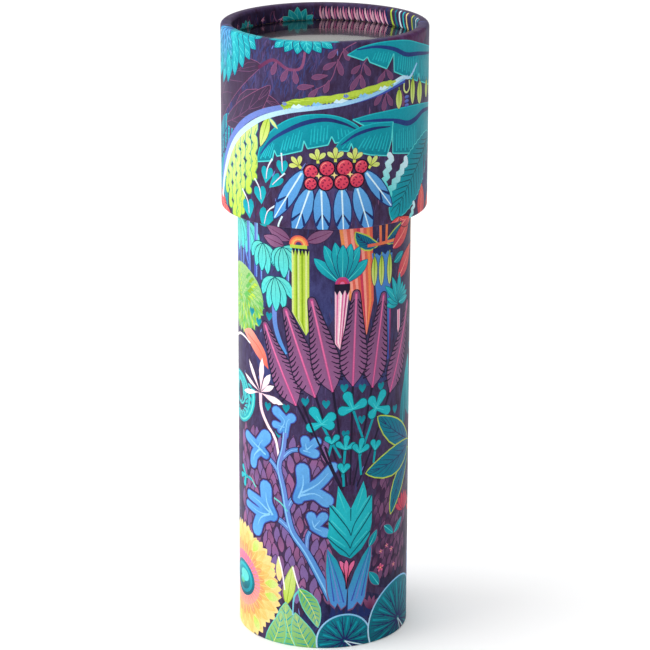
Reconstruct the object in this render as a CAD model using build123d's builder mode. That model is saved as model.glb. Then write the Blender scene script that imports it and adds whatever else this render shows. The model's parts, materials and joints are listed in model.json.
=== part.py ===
from build123d import *
import os
from math import cos, radians, sin, sqrt

os.makedirs("parts", exist_ok=True)

# A hand-held kaleidoscope that stands on its eyepiece end, with a wider turning head on top.
# Millimetres. +Z runs up the axis, from the eyepiece end (z = 0) to the rim of the head.

# ---- driving dimensions -------------------------------------------------------------------
total_height = 184.0        # floor to rim
head_radius = 30.0          # over the printed paper
barrel_radius = 25.35       # over the printed paper
head_underside = 130.2      # lower edge of the head
window_recess = 4.8         # rim down to the clear window
paper = 0.25                # thickness of the printed paper
shell_wall = 2.8            # card wall of the head
tube_wall = 1.6             # card wall of the barrel
running_fit = 0.08          # radial clearance of the head on the barrel
collar_fit = 0.10           # radial clearance of the collar in the head
axial_play = 0.2            # gap left at each face that slides as the head turns
rest_gap = 0.1              # gap between a loose piece and the floor it lies on

# ---- radii worked out from them -----------------------------------------------------------
tube_outer = barrel_radius - paper
tube_inner = tube_outer - tube_wall
base_inner = tube_inner - paper             # inside the paper that is turned into the base
shell_outer = head_radius - paper
shell_inner = shell_outer - shell_wall
rim_inner = shell_inner - paper             # inside the paper that is turned into the rim
rim_round = 1.0                             # outer roundings of the paper
head_edge_round = 0.7
base_edge_round = 0.4

# ---- heights in the base end --------------------------------------------------------------
eyepiece_ring_wall = 1.5
eyepiece_recess = 3.0                       # base edge up to the eyepiece disc
eyepiece_disc_thickness = 1.2
eyepiece_window_thickness = 0.8
peephole_radius = 5.0
eyepiece_window_bottom = eyepiece_recess + eyepiece_disc_thickness
turn_in_top = eyepiece_window_bottom + eyepiece_window_thickness

# ---- heights in the head, from the rim down -----------------------------------------------
window_thickness = 1.2
window_spacer_height = 2.0
diffuser_thickness = 0.8
chamber_height = 8.0
chamber_floor_thickness = 1.0
chamber_support_height = 2.0
chamber_wall_thickness = 2.45
chamber_support_width = 4.45
window_top = total_height - window_recess
window_bottom = window_top - window_thickness
diffuser_top = window_bottom - window_spacer_height
chamber_top = diffuser_top - diffuser_thickness
chamber_floor_top = chamber_top - chamber_height
chamber_floor_bottom = chamber_floor_top - chamber_floor_thickness
chamber_support_bottom = chamber_floor_bottom - chamber_support_height
chamber_inner = shell_inner - chamber_wall_thickness
tube_top = chamber_support_bottom - axial_play
collar_height = 8.0
collar_bottom = tube_top - collar_height
liner_top = collar_bottom - axial_play

# ---- mirrors ------------------------------------------------------------------------------
mirror_count = 3
mirror_apothem = 9.5                        # axis to the reflecting face
mirror_thickness = 1.5
mirror_edge_gap = 0.25                      # left at each edge of a strip, where two faces meet
mirror_end_gap = 0.2
mirror_end_drop = 1.0                       # tube end down to the mirror ends
mirror_bottom = turn_in_top + mirror_end_gap
mirror_top = tube_top - mirror_end_drop
mirror_width = 2 * (mirror_apothem * sqrt(3) - mirror_edge_gap)
first_mirror_angle = 90
triangle_turn = 30                          # corners half way between the strips
sleeve_gap = 0.1
sleeve_wall = 1.2
sleeve_inner_apothem = mirror_apothem + mirror_thickness + sleeve_gap
sleeve_outer_apothem = sleeve_inner_apothem + sleeve_wall
sleeve_outer_round = 3.0
sleeve_inner_round = sleeve_outer_round - sleeve_wall
seat_height = 4.0
upper_seat_drop = 3.0                       # mirror ends down to the top of the upper seat

# ---- loose pieces -------------------------------------------------------------------------
piece_count = 42
scatter_pitch = 3.3                         # spiral step; sets how far apart the pieces lie
golden_angle = 137.508
piece_turn = 275.0                          # turn of each piece from the one before it
lie_height = chamber_floor_top + rest_gap
large_bead_radius = 2.1
small_bead_radius = 1.6
star_tip_radius = 2.8
star_waist_radius = 1.25
star_points = 5
sequin_thickness = 0.5
tube_bead_radius = 1.1
tube_bead_hole = 0.45
tube_bead_length = 5.0
ring_bead_radius = 1.5
ring_bead_cord = 0.85
triangle_radius = 2.8
hexagon_radius = 2.5
chip_thickness = 1.2


def save(block, label):
    """Names a finished piece and writes its file."""
    block.part.label = label
    export_step(block.part, f"parts/{label}.step")


# ============================================================================================
# Barrel
# ============================================================================================

# Spiral-wound card tube.
with BuildPart() as barrel_tube:
    with BuildSketch(Plane.XY.offset(paper)):
        Circle(tube_outer)
        Circle(tube_inner, mode=Mode.SUBTRACT)
    extrude(amount=tube_top - paper)
save(barrel_tube, "barrel_tube")

# Printed paper: round the tube, under its lower edge and a little way up the inside.
with BuildPart() as barrel_wrap:
    with BuildSketch(Plane.XZ) as wrap_section:
        with BuildLine():
            Polyline(
                (base_inner, 0),
                (barrel_radius, 0),
                (barrel_radius, tube_top),
                (tube_outer, tube_top),
                (tube_outer, paper),
                (tube_inner, paper),
                (tube_inner, turn_in_top),
                (base_inner, turn_in_top),
                close=True,
            )
        make_face()
        base_corner = wrap_section.vertices().sort_by_distance((barrel_radius, 0, 0))[0]
        fillet(base_corner, radius=base_edge_round)
    revolve(axis=Axis.Z)
save(barrel_wrap, "barrel_wrap")

# Card ring that lines the base end; the object stands on it.
with BuildPart() as eyepiece_ring:
    with BuildSketch():
        Circle(base_inner)
        Circle(base_inner - eyepiece_ring_wall, mode=Mode.SUBTRACT)
    extrude(amount=eyepiece_recess)
save(eyepiece_ring, "eyepiece_ring")

# Card disc with the peephole.
with BuildPart() as eyepiece_disc:
    with BuildSketch(Plane.XY.offset(eyepiece_recess)):
        Circle(base_inner)
        Circle(peephole_radius, mode=Mode.SUBTRACT)
    extrude(amount=eyepiece_disc_thickness)
save(eyepiece_disc, "eyepiece_disc")

# Clear disc behind the peephole.
with BuildPart() as eyepiece_window:
    with BuildSketch(Plane.XY.offset(eyepiece_window_bottom)):
        Circle(base_inner)
    extrude(amount=eyepiece_window_thickness)
save(eyepiece_window, "eyepiece_window")

# Three mirror strips, reflecting faces inward, as a long equilateral triangle.
mirror_pitch = 360 / mirror_count
for index in range(mirror_count):
    strip_angle = first_mirror_angle + index * mirror_pitch
    with BuildPart() as mirror:
        with BuildSketch(Plane.XY.offset(mirror_bottom)):
            with PolarLocations(mirror_apothem + mirror_thickness / 2, 1, start_angle=strip_angle):
                Rectangle(mirror_thickness, mirror_width)
        extrude(amount=mirror_top - mirror_bottom)
    save(mirror, f"mirror_{index + 1}")

# Folded card sleeve round the three strips.
with BuildPart() as mirror_sleeve:
    with BuildSketch(Plane.XY.offset(mirror_bottom)) as sleeve_outline:
        RegularPolygon(sleeve_outer_apothem, mirror_count, major_radius=False, rotation=triangle_turn)
        fillet(sleeve_outline.vertices(), radius=sleeve_outer_round)
    extrude(amount=mirror_top - mirror_bottom)
    with BuildSketch(Plane.XY.offset(mirror_bottom)) as sleeve_hollow:
        RegularPolygon(sleeve_inner_apothem, mirror_count, major_radius=False, rotation=triangle_turn)
        fillet(sleeve_hollow.vertices(), radius=sleeve_inner_round)
    extrude(amount=mirror_top - mirror_bottom, mode=Mode.SUBTRACT)
save(mirror_sleeve, "mirror_sleeve")

# Foam discs that centre the sleeve in the tube, one at each end.
seat_bottoms = {
    "mirror_seat_lower": turn_in_top,
    "mirror_seat_upper": mirror_top - upper_seat_drop - seat_height,
}
for seat_name, seat_bottom in seat_bottoms.items():
    with BuildPart() as mirror_seat:
        with BuildSketch(Plane.XY.offset(seat_bottom)):
            Circle(tube_inner)
        extrude(amount=seat_height)
        with BuildSketch(Plane.XY.offset(seat_bottom)) as seat_hole:
            RegularPolygon(sleeve_outer_apothem, mirror_count, major_radius=False, rotation=triangle_turn)
            fillet(seat_hole.vertices(), radius=sleeve_outer_round)
        extrude(amount=seat_height, mode=Mode.SUBTRACT)
    save(mirror_seat, seat_name)

# Card ring glued round the far end of the barrel, above the head's liner.
with BuildPart() as barrel_collar:
    with BuildSketch(Plane.XY.offset(collar_bottom)):
        Circle(shell_inner - collar_fit)
        Circle(barrel_radius, mode=Mode.SUBTRACT)
    extrude(amount=collar_height)
save(barrel_collar, "barrel_collar")

# ============================================================================================
# Head
# ============================================================================================

# Thick card tube with rounded edges.
with BuildPart() as head_shell:
    with BuildSketch(Plane.XY.offset(head_underside + paper)):
        Circle(shell_outer)
        Circle(shell_inner, mode=Mode.SUBTRACT)
    extrude(amount=total_height - head_underside - 2 * paper)
    shell_circles = head_shell.edges().filter_by(GeomType.CIRCLE).group_by(Axis.Z)
    rim_edges = shell_circles[-1]
    foot_edge = shell_circles[0].sort_by(SortBy.RADIUS)[-1]
    fillet(rim_edges, radius=rim_round - paper)
    fillet(foot_edge, radius=head_edge_round - paper)
save(head_shell, "head_shell")

# Printed paper: round the shell, over the rim and down the inside to the window, and under
# the lower edge.
with BuildPart() as head_wrap:
    with BuildSketch(Plane.XZ) as cover_section:
        with BuildLine():
            Polyline(
                (shell_inner, head_underside),
                (head_radius, head_underside),
                (head_radius, total_height),
                (rim_inner, total_height),
                (rim_inner, window_top),
                (shell_inner, window_top),
                (shell_inner, total_height - paper),
                (shell_outer, total_height - paper),
                (shell_outer, head_underside + paper),
                (shell_inner, head_underside + paper),
                close=True,
            )
        make_face()
        for rim_corner in ((head_radius, total_height), (rim_inner, total_height)):
            fillet(cover_section.vertices().sort_by_distance((*rim_corner, 0))[0], radius=rim_round)
        for inner_corner in ((shell_outer, total_height - paper), (shell_inner, total_height - paper)):
            fillet(
                cover_section.vertices().sort_by_distance((*inner_corner, 0))[0],
                radius=rim_round - paper,
            )
        foot_corner = cover_section.vertices().sort_by_distance((head_radius, head_underside, 0))[0]
        fillet(foot_corner, radius=head_edge_round)
        foot_inner_corner = cover_section.vertices().sort_by_distance(
            (shell_outer, head_underside + paper, 0)
        )[0]
        fillet(foot_inner_corner, radius=head_edge_round - paper)
    revolve(axis=Axis.Z)
save(head_wrap, "head_wrap")

# Card ring glued in the shell; it turns on the barrel, below the collar.
with BuildPart() as head_liner:
    with BuildSketch(Plane.XY.offset(head_underside + paper)):
        Circle(shell_inner)
        Circle(barrel_radius + running_fit, mode=Mode.SUBTRACT)
    extrude(amount=liner_top - head_underside - paper)
save(head_liner, "head_liner")

# Card ring that carries the chamber just above the barrel's end.
with BuildPart() as chamber_support:
    with BuildSketch(Plane.XY.offset(chamber_support_bottom)):
        Circle(shell_inner)
        Circle(shell_inner - chamber_support_width, mode=Mode.SUBTRACT)
    extrude(amount=chamber_support_height)
save(chamber_support, "chamber_support")

# Clear disc under the loose pieces.
with BuildPart() as chamber_floor:
    with BuildSketch(Plane.XY.offset(chamber_floor_bottom)):
        Circle(shell_inner)
    extrude(amount=chamber_floor_thickness)
save(chamber_floor, "chamber_floor")

# Ring round the loose pieces.
with BuildPart() as chamber_wall:
    with BuildSketch(Plane.XY.offset(chamber_floor_top)):
        Circle(shell_inner)
        Circle(chamber_inner, mode=Mode.SUBTRACT)
    extrude(amount=chamber_height)
save(chamber_wall, "chamber_wall")

# Frosted disc over the loose pieces.
with BuildPart() as diffuser_disc:
    with BuildSketch(Plane.XY.offset(chamber_top)):
        Circle(shell_inner)
    extrude(amount=diffuser_thickness)
save(diffuser_disc, "diffuser_disc")

# Card ring between the diffuser and the window.
with BuildPart() as window_spacer:
    with BuildSketch(Plane.XY.offset(diffuser_top)):
        Circle(shell_inner)
        Circle(chamber_inner, mode=Mode.SUBTRACT)
    extrude(amount=window_spacer_height)
save(window_spacer, "window_spacer")

# Clear glossy disc at the bottom of the recess.
with BuildPart() as cover_window:
    with BuildSketch(Plane.XY.offset(window_bottom)):
        Circle(shell_inner)
    extrude(amount=window_thickness)
save(cover_window, "cover_window")

# ============================================================================================
# Loose pieces, lying on the chamber floor
# ============================================================================================

piece_kinds = (
    "round_beads_large",
    "star_sequins",
    "tube_beads",
    "hexagon_chips",
    "round_beads_small",
    "triangle_chips",
    "ring_beads",
)


def scatter(kind):
    """Places and turns of one kind of piece; the kinds take the places of an even spiral in turn."""
    places = []
    for order in range(piece_kinds.index(kind), piece_count, len(piece_kinds)):
        reach = scatter_pitch * sqrt(order)
        bearing = radians(golden_angle * order)
        places.append((reach * cos(bearing), reach * sin(bearing), piece_turn * order % 360))
    return places


# Round beads in two sizes.
for bead_kind, bead_radius in (
    ("round_beads_large", large_bead_radius),
    ("round_beads_small", small_bead_radius),
):
    with BuildPart() as round_beads:
        for x, y, turn in scatter(bead_kind):
            with Locations((x, y, lie_height + bead_radius)):
                Sphere(bead_radius)
    save(round_beads, bead_kind)

# Flat five-pointed stars.
with BuildPart() as star_sequins:
    with BuildSketch(Plane.XY.offset(lie_height)):
        for x, y, turn in scatter("star_sequins"):
            corners = []
            for step in range(2 * star_points):
                corner_angle = radians(turn + step * 180 / star_points)
                corner_radius = star_waist_radius if step % 2 else star_tip_radius
                corners.append((x + corner_radius * cos(corner_angle), y + corner_radius * sin(corner_angle)))
            Polygon(*corners, align=None)
    extrude(amount=sequin_thickness)
save(star_sequins, "star_sequins")

# Short glass tubes, lying on their sides.
with BuildPart() as tube_beads:
    for x, y, turn in scatter("tube_beads"):
        along = Vector(cos(radians(turn)), sin(radians(turn)), 0)
        middle = Vector(x, y, lie_height + tube_bead_radius)
        with BuildSketch(Plane(origin=middle - along * (tube_bead_length / 2), z_dir=along)):
            Circle(tube_bead_radius)
            Circle(tube_bead_hole, mode=Mode.SUBTRACT)
        extrude(amount=tube_bead_length)
save(tube_beads, "tube_beads")

# Small ring beads, lying flat.
with BuildPart() as ring_beads:
    for x, y, turn in scatter("ring_beads"):
        with Locations((x, y, lie_height + ring_bead_cord)):
            Torus(ring_bead_radius, ring_bead_cord)
save(ring_beads, "ring_beads")

# Flat coloured chips, three-sided and six-sided.
for chip_kind, chip_radius, side_count in (
    ("triangle_chips", triangle_radius, 3),
    ("hexagon_chips", hexagon_radius, 6),
):
    with BuildPart() as chips:
        with BuildSketch(Plane.XY.offset(lie_height)):
            for x, y, turn in scatter(chip_kind):
                with Locations(Location((x, y, 0), turn)):
                    RegularPolygon(chip_radius, side_count)
        extrude(amount=chip_thickness)
    save(chips, chip_kind)
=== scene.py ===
import bisect
import cmath
import json
import math
import random

import bpy
import numpy as np
from mathutils import Matrix, Vector
from mathutils.geometry import delaunay_2d_cdt


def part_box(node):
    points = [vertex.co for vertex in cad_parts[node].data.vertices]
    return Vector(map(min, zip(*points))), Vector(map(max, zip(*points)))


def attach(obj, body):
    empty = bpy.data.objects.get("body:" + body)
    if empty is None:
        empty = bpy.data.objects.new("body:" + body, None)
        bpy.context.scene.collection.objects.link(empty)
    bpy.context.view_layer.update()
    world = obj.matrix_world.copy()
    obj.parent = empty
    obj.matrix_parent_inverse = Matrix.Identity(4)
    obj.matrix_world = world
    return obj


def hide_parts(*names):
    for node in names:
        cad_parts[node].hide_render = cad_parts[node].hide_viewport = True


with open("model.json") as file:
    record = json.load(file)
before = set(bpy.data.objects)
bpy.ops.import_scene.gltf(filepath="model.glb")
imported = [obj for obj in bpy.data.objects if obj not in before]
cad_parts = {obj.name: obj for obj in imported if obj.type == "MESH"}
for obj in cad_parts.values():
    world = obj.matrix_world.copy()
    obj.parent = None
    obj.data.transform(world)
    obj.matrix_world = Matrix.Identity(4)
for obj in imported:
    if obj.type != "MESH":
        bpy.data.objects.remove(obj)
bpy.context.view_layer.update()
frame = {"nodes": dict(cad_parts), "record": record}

# A card-tube kaleidoscope with a turning head, printed all round with a night-jungle pattern.
# The print is drawn flat, in millimetres, and then rolled round the barrel and the head.

MM = 0.001  # one millimetre in metres
random.seed(4)

# ---- Colours ----

TONES = {
    "night": "#382b49", "indigo": "#333a6c", "plum": "#3c2840", "dusk": "#4c3c66", "wine": "#5a1f45",
    "ink": "#140d1c", "shadow": "#21192f", "navy": "#1d2a5e", "marine": "#1f3f82", "smoke": "#463a52",
    "violet": "#785d92", "orchid": "#905b86", "mauve": "#774c70", "heather": "#936488",
    "rose_dust": "#8a4f73", "plum_leaf": "#6e4468", "deep_plum": "#3a2140", "deep_teal": "#04505e",
    "petrol": "#0a6288",
    "teal": "#057b8c", "sea": "#0c97a6", "turquoise": "#1fb2bd", "aqua": "#4fd0cf", "mint": "#63cdc0",
    "ice": "#cfeaf4", "ultramarine": "#3d50ac", "periwinkle": "#6b80c6", "cornflower": "#4a8ccc",
    "azure": "#5fa3dc", "sky": "#82bfe8", "leaf_green": "#5fae52", "sage": "#9cc07c", "moss": "#86a81c",
    "lime": "#b5cf45", "citron": "#cfd75c", "pale_lime": "#ccda88", "yellow": "#ead088", "gold": "#eab964",
    "orange": "#ec9050", "coral": "#df6450", "salmon": "#f09b8a", "berry": "#c93a54", "cherry": "#d94a5e",
    "deep_berry": "#7c1f3e", "magenta": "#b8407e", "pink": "#dd6f9f", "blush": "#f3c4d4", "cream": "#f7ecec",
    "paper": "#e9e4dc",
}


def linear(name):
    """A named tone as linear red, green and blue."""
    code = TONES[name].lstrip("#")
    channels = [int(code[place:place + 2], 16) / 255 for place in (0, 2, 4)]
    return tuple(c / 12.92 if c <= 0.04045 else ((c + 0.055) / 1.055) ** 2.4 for c in channels)


# ---- Drawing kit. A point is a complex number: across + up * 1j, in millimetres. ----

def turned(degrees):
    """Unit step in a direction; 0 is to the right and 90 is up."""
    return cmath.rect(1, math.radians(degrees))


def between(pair, share):
    """The point at a share of the way from the first point of a pair to the second."""
    return pair[0] + (pair[1] - pair[0]) * share


def bow(start, end, bend, steps):
    """Points on a curve that bows to its left by bend times its length."""
    pull = (start + end) / 2 + 2j * bend * (end - start)
    points = []
    for step in range(steps + 1):
        t = step / steps
        points.append((1 - t) ** 2 * start + 2 * t * (1 - t) * pull + t * t * end)
    return points


def smooth(knots, steps=4):
    """A soft curve through a few knots."""
    ends = [2 * knots[0] - knots[1]] + list(knots) + [2 * knots[-1] - knots[-2]]
    points = []
    for a, b, c, d in zip(ends, ends[1:], ends[2:], ends[3:]):
        for step in range(steps):
            t = step / steps
            points.append(0.5 * (2 * b + (c - a) * t + (2 * a - 5 * b + 4 * c - d) * t * t
                                 + (3 * b - a - 3 * c + d) * t ** 3))
    return points + [knots[-1]]


def lefts(points):
    """Unit directions to the left of a path at each of its points."""
    last = len(points) - 1
    steps = [points[min(i + 1, last)] - points[max(i - 1, 0)] for i in range(len(points))]
    return [1j * step / abs(step) for step in steps]


def band(points, widths, round_start=False, round_end=False):
    """Outline of a path that has a width at each point, with round ends if asked for."""
    sides = lefts(points)
    left = [point + side * width / 2 for point, side, width in zip(points, sides, widths)]
    right = [point - side * width / 2 for point, side, width in zip(points, sides, widths) if width > 0]
    arc = [turned(-36 * k) for k in range(1, 5)]
    if round_end:
        left += [points[-1] + sides[-1] * step * widths[-1] / 2 for step in arc]
    if round_start:
        left = [points[0] - sides[0] * step * widths[0] / 2 for step in arc] + left
    return left + right[::-1]


def swell(t, belly, blunt):
    """Half-width of a leaf, 0 to 1, along its length; belly is where it is widest."""
    return max(0.0, math.sin(math.pi * t ** (math.log(0.5) / math.log(belly)))) ** blunt


class Drawing:
    """A flat print. Shapes drawn later cover shapes drawn earlier."""

    def __init__(self):
        self.shapes = []
        self.shift = 0.0
        self.flip = False

    def place(self, shift=0.0, flip=False):
        """Moves everything drawn next across the sheet, mirrored left to right if flip is set."""
        self.shift = shift
        self.flip = flip

    def put(self, point):
        return complex(-point.real if self.flip else point.real, point.imag) + self.shift

    def fill(self, outline, tone, to=None, along=None, grain=0.25):
        """A closed outline. With to, the tone blends to a second one between the two points of along."""
        start, end = along or (0, 1j)
        self.shapes.append(([self.put(p) for p in outline], tone, to or tone,
                            (self.put(complex(start)), self.put(complex(end))), grain))

    def stroke(self, points, width, tone, end_width=None, to=None, grain=0.2):
        """A line along some points, which may taper."""
        end_width = width if end_width is None else end_width
        last = len(points) - 1
        widths = [width + (end_width - width) * i / last for i in range(last + 1)]
        self.fill(band(points, widths), tone, to, (points[0], points[-1]), grain)

    def disc(self, centre, radius, tone, to=None, squash=1.0, steps=16, grain=0.25):
        """A filled circle or oval."""
        spokes = [turned(360 * step / steps) for step in range(steps)]
        outline = [centre + radius * complex(spoke.real, spoke.imag * squash) for spoke in spokes]
        top = 1j * radius * squash
        self.fill(outline, tone, to, (centre - top, centre + top), grain)

    def hatch(self, foot, head, count, tone, width):
        """Side-by-side lines from one edge to another; each edge is a pair of points."""
        for k in range(count):
            share = (k + 0.5) / count
            low, top = between(foot, share), between(head, share)
            self.stroke([between((low, top), 0.12 * (k % 2)), between((low, top), 1 - 0.16 * ((k + 1) % 2))],
                        width, tone, width * 0.5)

    def leaf(self, base, tip, width, tone, bend=0.0, to=None, edge=None, edge_width=0.2, rib=None,
             rib_width=0.3, veins=0, vein=None, vein_width=0.24, lean=0.16, belly=0.45, blunt=0.85, wave=0.0,
             steps=9):
        """One leaf from base to tip, with an outline, a midrib and side veins if they are asked for."""
        nodes, waves = 36, 30
        spine = bow(base, tip, bend, nodes)
        normals = lefts(spine)

        def at(t, side, share, extra=0.0):
            """A point of the leaf: t along it and share of the way out to one side."""
            place = min(max(t, 0), 1) * nodes
            low = min(int(place), nodes - 1)
            point = between((spine[low], spine[low + 1]), place - low)
            return point + normals[low] * side * (share * width / 2 * swell(t, belly, blunt) + extra)

        stops = [0.5 - 0.5 * math.cos(math.pi * step / steps) for step in range(1, steps)]
        if wave:
            stops = [step / waves for step in range(1, waves)]

        def outline(extra):
            ends = (tip - base) / abs(tip - base) * extra
            rows = []
            for side in (1, -1):
                rows.append([at(t, side, 1 + (wave if i % 2 else 0), extra) for i, t in enumerate(stops)])
            return [base - ends] + rows[0] + [tip + ends] + rows[1][::-1]

        if edge:
            self.fill(outline(edge_width), edge)
        self.fill(outline(0.0), tone, to, (base, tip))
        for k in range(veins):
            t = 0.06 + 0.8 * (k + 0.5) / veins
            for side in (1, -1):
                self.stroke([at(t, side, 0.06), at(t + lean * 0.6, side, 0.8 * 0.6), at(t + lean, side, 0.8)],
                            vein_width, vein, vein_width * 0.4)
        if rib:
            self.stroke([at(0.02 + 0.93 * i / 6, 1, 0) for i in range(7)], rib_width, rib, rib_width * 0.25)

    def drop(self, point, end, width):
        """A mauve teardrop leaf: a sharp point and a round end."""
        self.leaf(point, end, width, "plum_leaf", edge="rose_dust", edge_width=0.15, belly=0.66, blunt=0.65,
                  steps=7)

    def heart(self, crown, tip, width, tone="sea", to="turquoise", stem=None):
        """A heart-shaped leaf with an optional pale stalk that runs into it."""
        ahead = tip - crown
        side = 1j * ahead / abs(ahead) * width / 2
        half = ((-0.1, 0.35), (-0.12, 0.72), (0.04, 1.0), (0.3, 1.02), (0.6, 0.66), (0.84, 0.26))
        outline = [crown + ahead * 0.1] + [crown + ahead * along + side * out for along, out in half] + [tip]
        outline += [crown + ahead * along - side * out for along, out in half[::-1]]
        self.fill(outline, tone, to, (crown, tip))
        if stem:
            self.stroke(smooth([stem, crown, crown + ahead * 0.7], 3), 0.5, "ice", 0.18, to="blush")

    def leaves(self, rows, **look):
        """Leaves of one look; a row is a base, a tip, a width and perhaps a bend."""
        for base, tip, width, *bend in rows:
            self.leaf(base, tip, width, bend=sum(bend), **look)

    def fan(self, hub, tips, width, **look):
        """Leaves from one point to several tips."""
        self.leaves([(hub, tip, width) for tip in tips], **look)

    def umbrella(self, apex, tips, width):
        """A drooping palm: leaves that hang from one point."""
        middle = sum(tips) / len(tips)
        for tip in sorted(tips, key=lambda p: -abs(p - middle)):
            lean = (tip.real - apex.real) / abs(tip - apex)
            self.leaf(apex, tip, width, "mint", bend=0.22 * lean, to="aqua", edge="deep_teal",
                      edge_width=0.26, rib="teal", rib_width=0.18, belly=0.52, blunt=0.7, steps=8)

    def antler(self, branches, tone="cornflower", to="azure", edge="ultramarine", rim=0.28, shine="sky"):
        """A lobed leaf made of thick round-ended branches, each a list of knots and two widths."""
        for extra in (2 * rim, 0):
            for knots, width, end in branches:
                path = smooth(knots, 3)
                last = len(path) - 1
                widths = [width + (end - width) * i / last + extra for i in range(last + 1)]
                self.fill(band(path, widths, True, True), edge if extra else tone, None if extra else to,
                          (knots[0], knots[-1]))
        for knots, width, end in branches:
            path = smooth(knots, 3)
            self.stroke(path[:-1], min(width, end) * 0.22, shine, 0.12)

    def sprig(self, foot, crown, lobes, size):
        """A turquoise stem with round lobes."""
        self.stroke(smooth([foot, crown]), 0.7, "sea", 0.8)
        self.antler([([crown, lobe], size * 0.36, size * 1.06) for lobe in lobes],
                    "turquoise", "turquoise", "deep_teal", 0.24, "aqua")

    def catkin(self, top, bottom, width, waves):
        """A hanging tassel with wavy sides."""
        steps = waves * 5
        spine = bow(top, bottom, 0.0, steps)
        side = lefts(spine)[0]
        swayed = []
        widths = []
        for i, point in enumerate(spine):
            phase = 2 * math.pi * waves * i / steps
            swayed.append(point + side * 0.2 * width * math.sin(phase))
            widths.append(width * (0.84 + 0.16 * math.cos(2 * phase)))
        self.fill(band(swayed, [w + 0.5 for w in widths], False, True), "leaf_green", to="sea",
                  along=(bottom, top))
        self.fill(band(swayed, widths, False, True), "lime", "pale_lime", (bottom, top))
        for i in range(2, steps - 2, 4):
            offset = side * width * (0.2 if i % 8 < 4 else -0.2)
            self.stroke([swayed[i] + offset, swayed[i + 1] + offset * 1.3, swayed[i + 2] + offset], 0.22,
                        "leaf_green")

    def berry(self, centre, radius):
        """A round fruit with a dark outline, a soft light side and seeds."""
        self.disc(centre, radius + 0.32, "ink", steps=18)
        self.disc(centre, radius - 0.08, "berry", to="cherry", steps=18)
        self.stroke([centre + radius * 0.76 * turned(95 + 22 * k) for k in range(5)], 0.26, "salmon", 0.12)
        for turn, out in (
            (195, 0.5), (240, 0.62), (285, 0.35), (330, 0.6), (20, 0.55), (75, 0.3), (140, 0.3),
        ):
            mark = centre + radius * out * turned(turn + 9 * radius)
            self.stroke([mark, mark + 0.6 * turned(turn + 60)], 0.5, "deep_berry", 0.25)

    def floret(self, foot, height, lean):
        """Three blunt petals on a short stalk."""
        ahead = turned(90 + lean) * height
        crown = foot + ahead * 0.3
        self.stroke([foot, crown], 0.8, "citron")
        for tilt, share in ((54, 0.68), (-54, 0.68), (0, 0.74)):
            self.leaf(crown - ahead * 0.06, crown + ahead * turned(tilt) * share, height * 0.34, "citron",
                      to="pale_lime", edge="deep_plum", edge_width=0.16, belly=0.66, blunt=0.6, rib="lime",
                      rib_width=0.22, steps=7)

    def sparkle(self, centre, size):
        """A small four-pointed star."""
        self.fill([centre + (size if k % 2 == 0 else size * 0.36) * turned(45 * k) for k in range(8)],
                  "yellow")

    def squiggle(self, start, end, swing, turns, width):
        """A pale leaf with deeply waved sides."""
        ahead = (end - start) / turns
        side = 1j * ahead / abs(ahead)
        path = smooth([start + ahead * k + swing * (1 if k % 2 else -1) * side for k in range(turns + 1)], 3)
        self.fill(band(path, [width] * len(path), True, True), "ice", "aqua", (start, end))

    def pad(self, centre, radius, notch, veins):
        """A lily pad with a pale rim, a notch and forked veins."""
        def ring(reach, gap):
            edge = [centre + reach * turned(notch + gap + (360 - 2 * gap) * step / 40) for step in range(41)]
            return edge + [centre]

        self.fill(ring(radius + 0.5, 12), "ice", "sky", (centre - 1j * radius, centre + 1j * radius))
        self.fill(ring(radius, 13.5), "deep_teal", "teal", (centre - 1j * radius, centre + 1j * radius))
        gap = 316 / (veins - 1)
        for k in range(veins):
            way = turned(notch + 22 + gap * k) * radius
            if k < veins - 1:
                light = way * turned(gap / 2)
                self.stroke([centre + light * 0.4, centre + light * 0.66,
                             centre + light * (0.84 + 0.08 * (k % 2))], 0.15, "sea", 0.6)
            self.stroke([centre + way * 0.06, centre + way * turned(3 * (-1) ** k) * 0.5,
                         centre + way * 0.95], 0.55, "navy", 0.2)
            for side in (1, -1):
                self.stroke([centre + way * (0.5 + 0.08 * side),
                             centre + way * turned(side * gap * 0.3) * 0.95], 0.3, "navy", 0.1)
        for side in (1, -1):
            self.stroke([centre, centre + turned(notch + 12 * side) * radius], 0.3, "ice", 0.45)

    def daisy(self, centre, radius, petals=22, start=0):
        """A large flower with toothed yellow petals, an orange ring and a teal eye."""
        rings = ((1.0, "yellow", "gold", 0.24), (0.94, "gold", "yellow", 0.19), (0.8, "gold", "orange", 0.15),
                 (0.66, "orange", "salmon", 0.12))
        for ring, (reach, tone, to, width) in enumerate(rings):
            for k in range(petals):
                way = turned(start + 360 * (k + 0.5 * ring) / petals) * radius
                self.leaf(centre + way * 0.34, centre + way * reach * (1 - 0.05 * (k % 3 == 1)),
                          radius * width, to, to=tone, belly=0.62, blunt=0.8, rib="yellow", steps=7)
        for k in range(0, petals, 3):
            way = turned(start + 360 * (k + 0.3) / petals) * radius
            self.leaf(centre + way * 0.66, centre + way * 0.94, radius * 0.16, "lime", to="pale_lime",
                      edge="yellow", belly=0.55, steps=7)
        self.disc(centre, radius * 0.54, "salmon", to="pink", squash=0.86, steps=30)
        for k in range(40):
            way = turned(9 * k)
            way = complex(way.real, way.imag * 0.86) * radius
            self.stroke([centre + way * 0.38, centre + way * (0.56 + 0.07 * (k % 2))], 0.3, "coral", 0.12,
                        to="gold")
        for share, tone, to in (
            (0.4, "deep_teal", "teal"), (0.33, "teal", "turquoise"), (0.26, "deep_teal", "sea"),
        ):
            self.disc(centre, radius * share, tone, to, squash=0.76, steps=24)
        self.disc(centre + radius * (0.04+0.05j), radius * 0.17, "aqua", "mint", squash=0.62, steps=18)
        self.disc(centre - radius * (0.06+0.06j), radius * 0.1, "leaf_green", "aqua", squash=0.6, steps=12)

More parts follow.
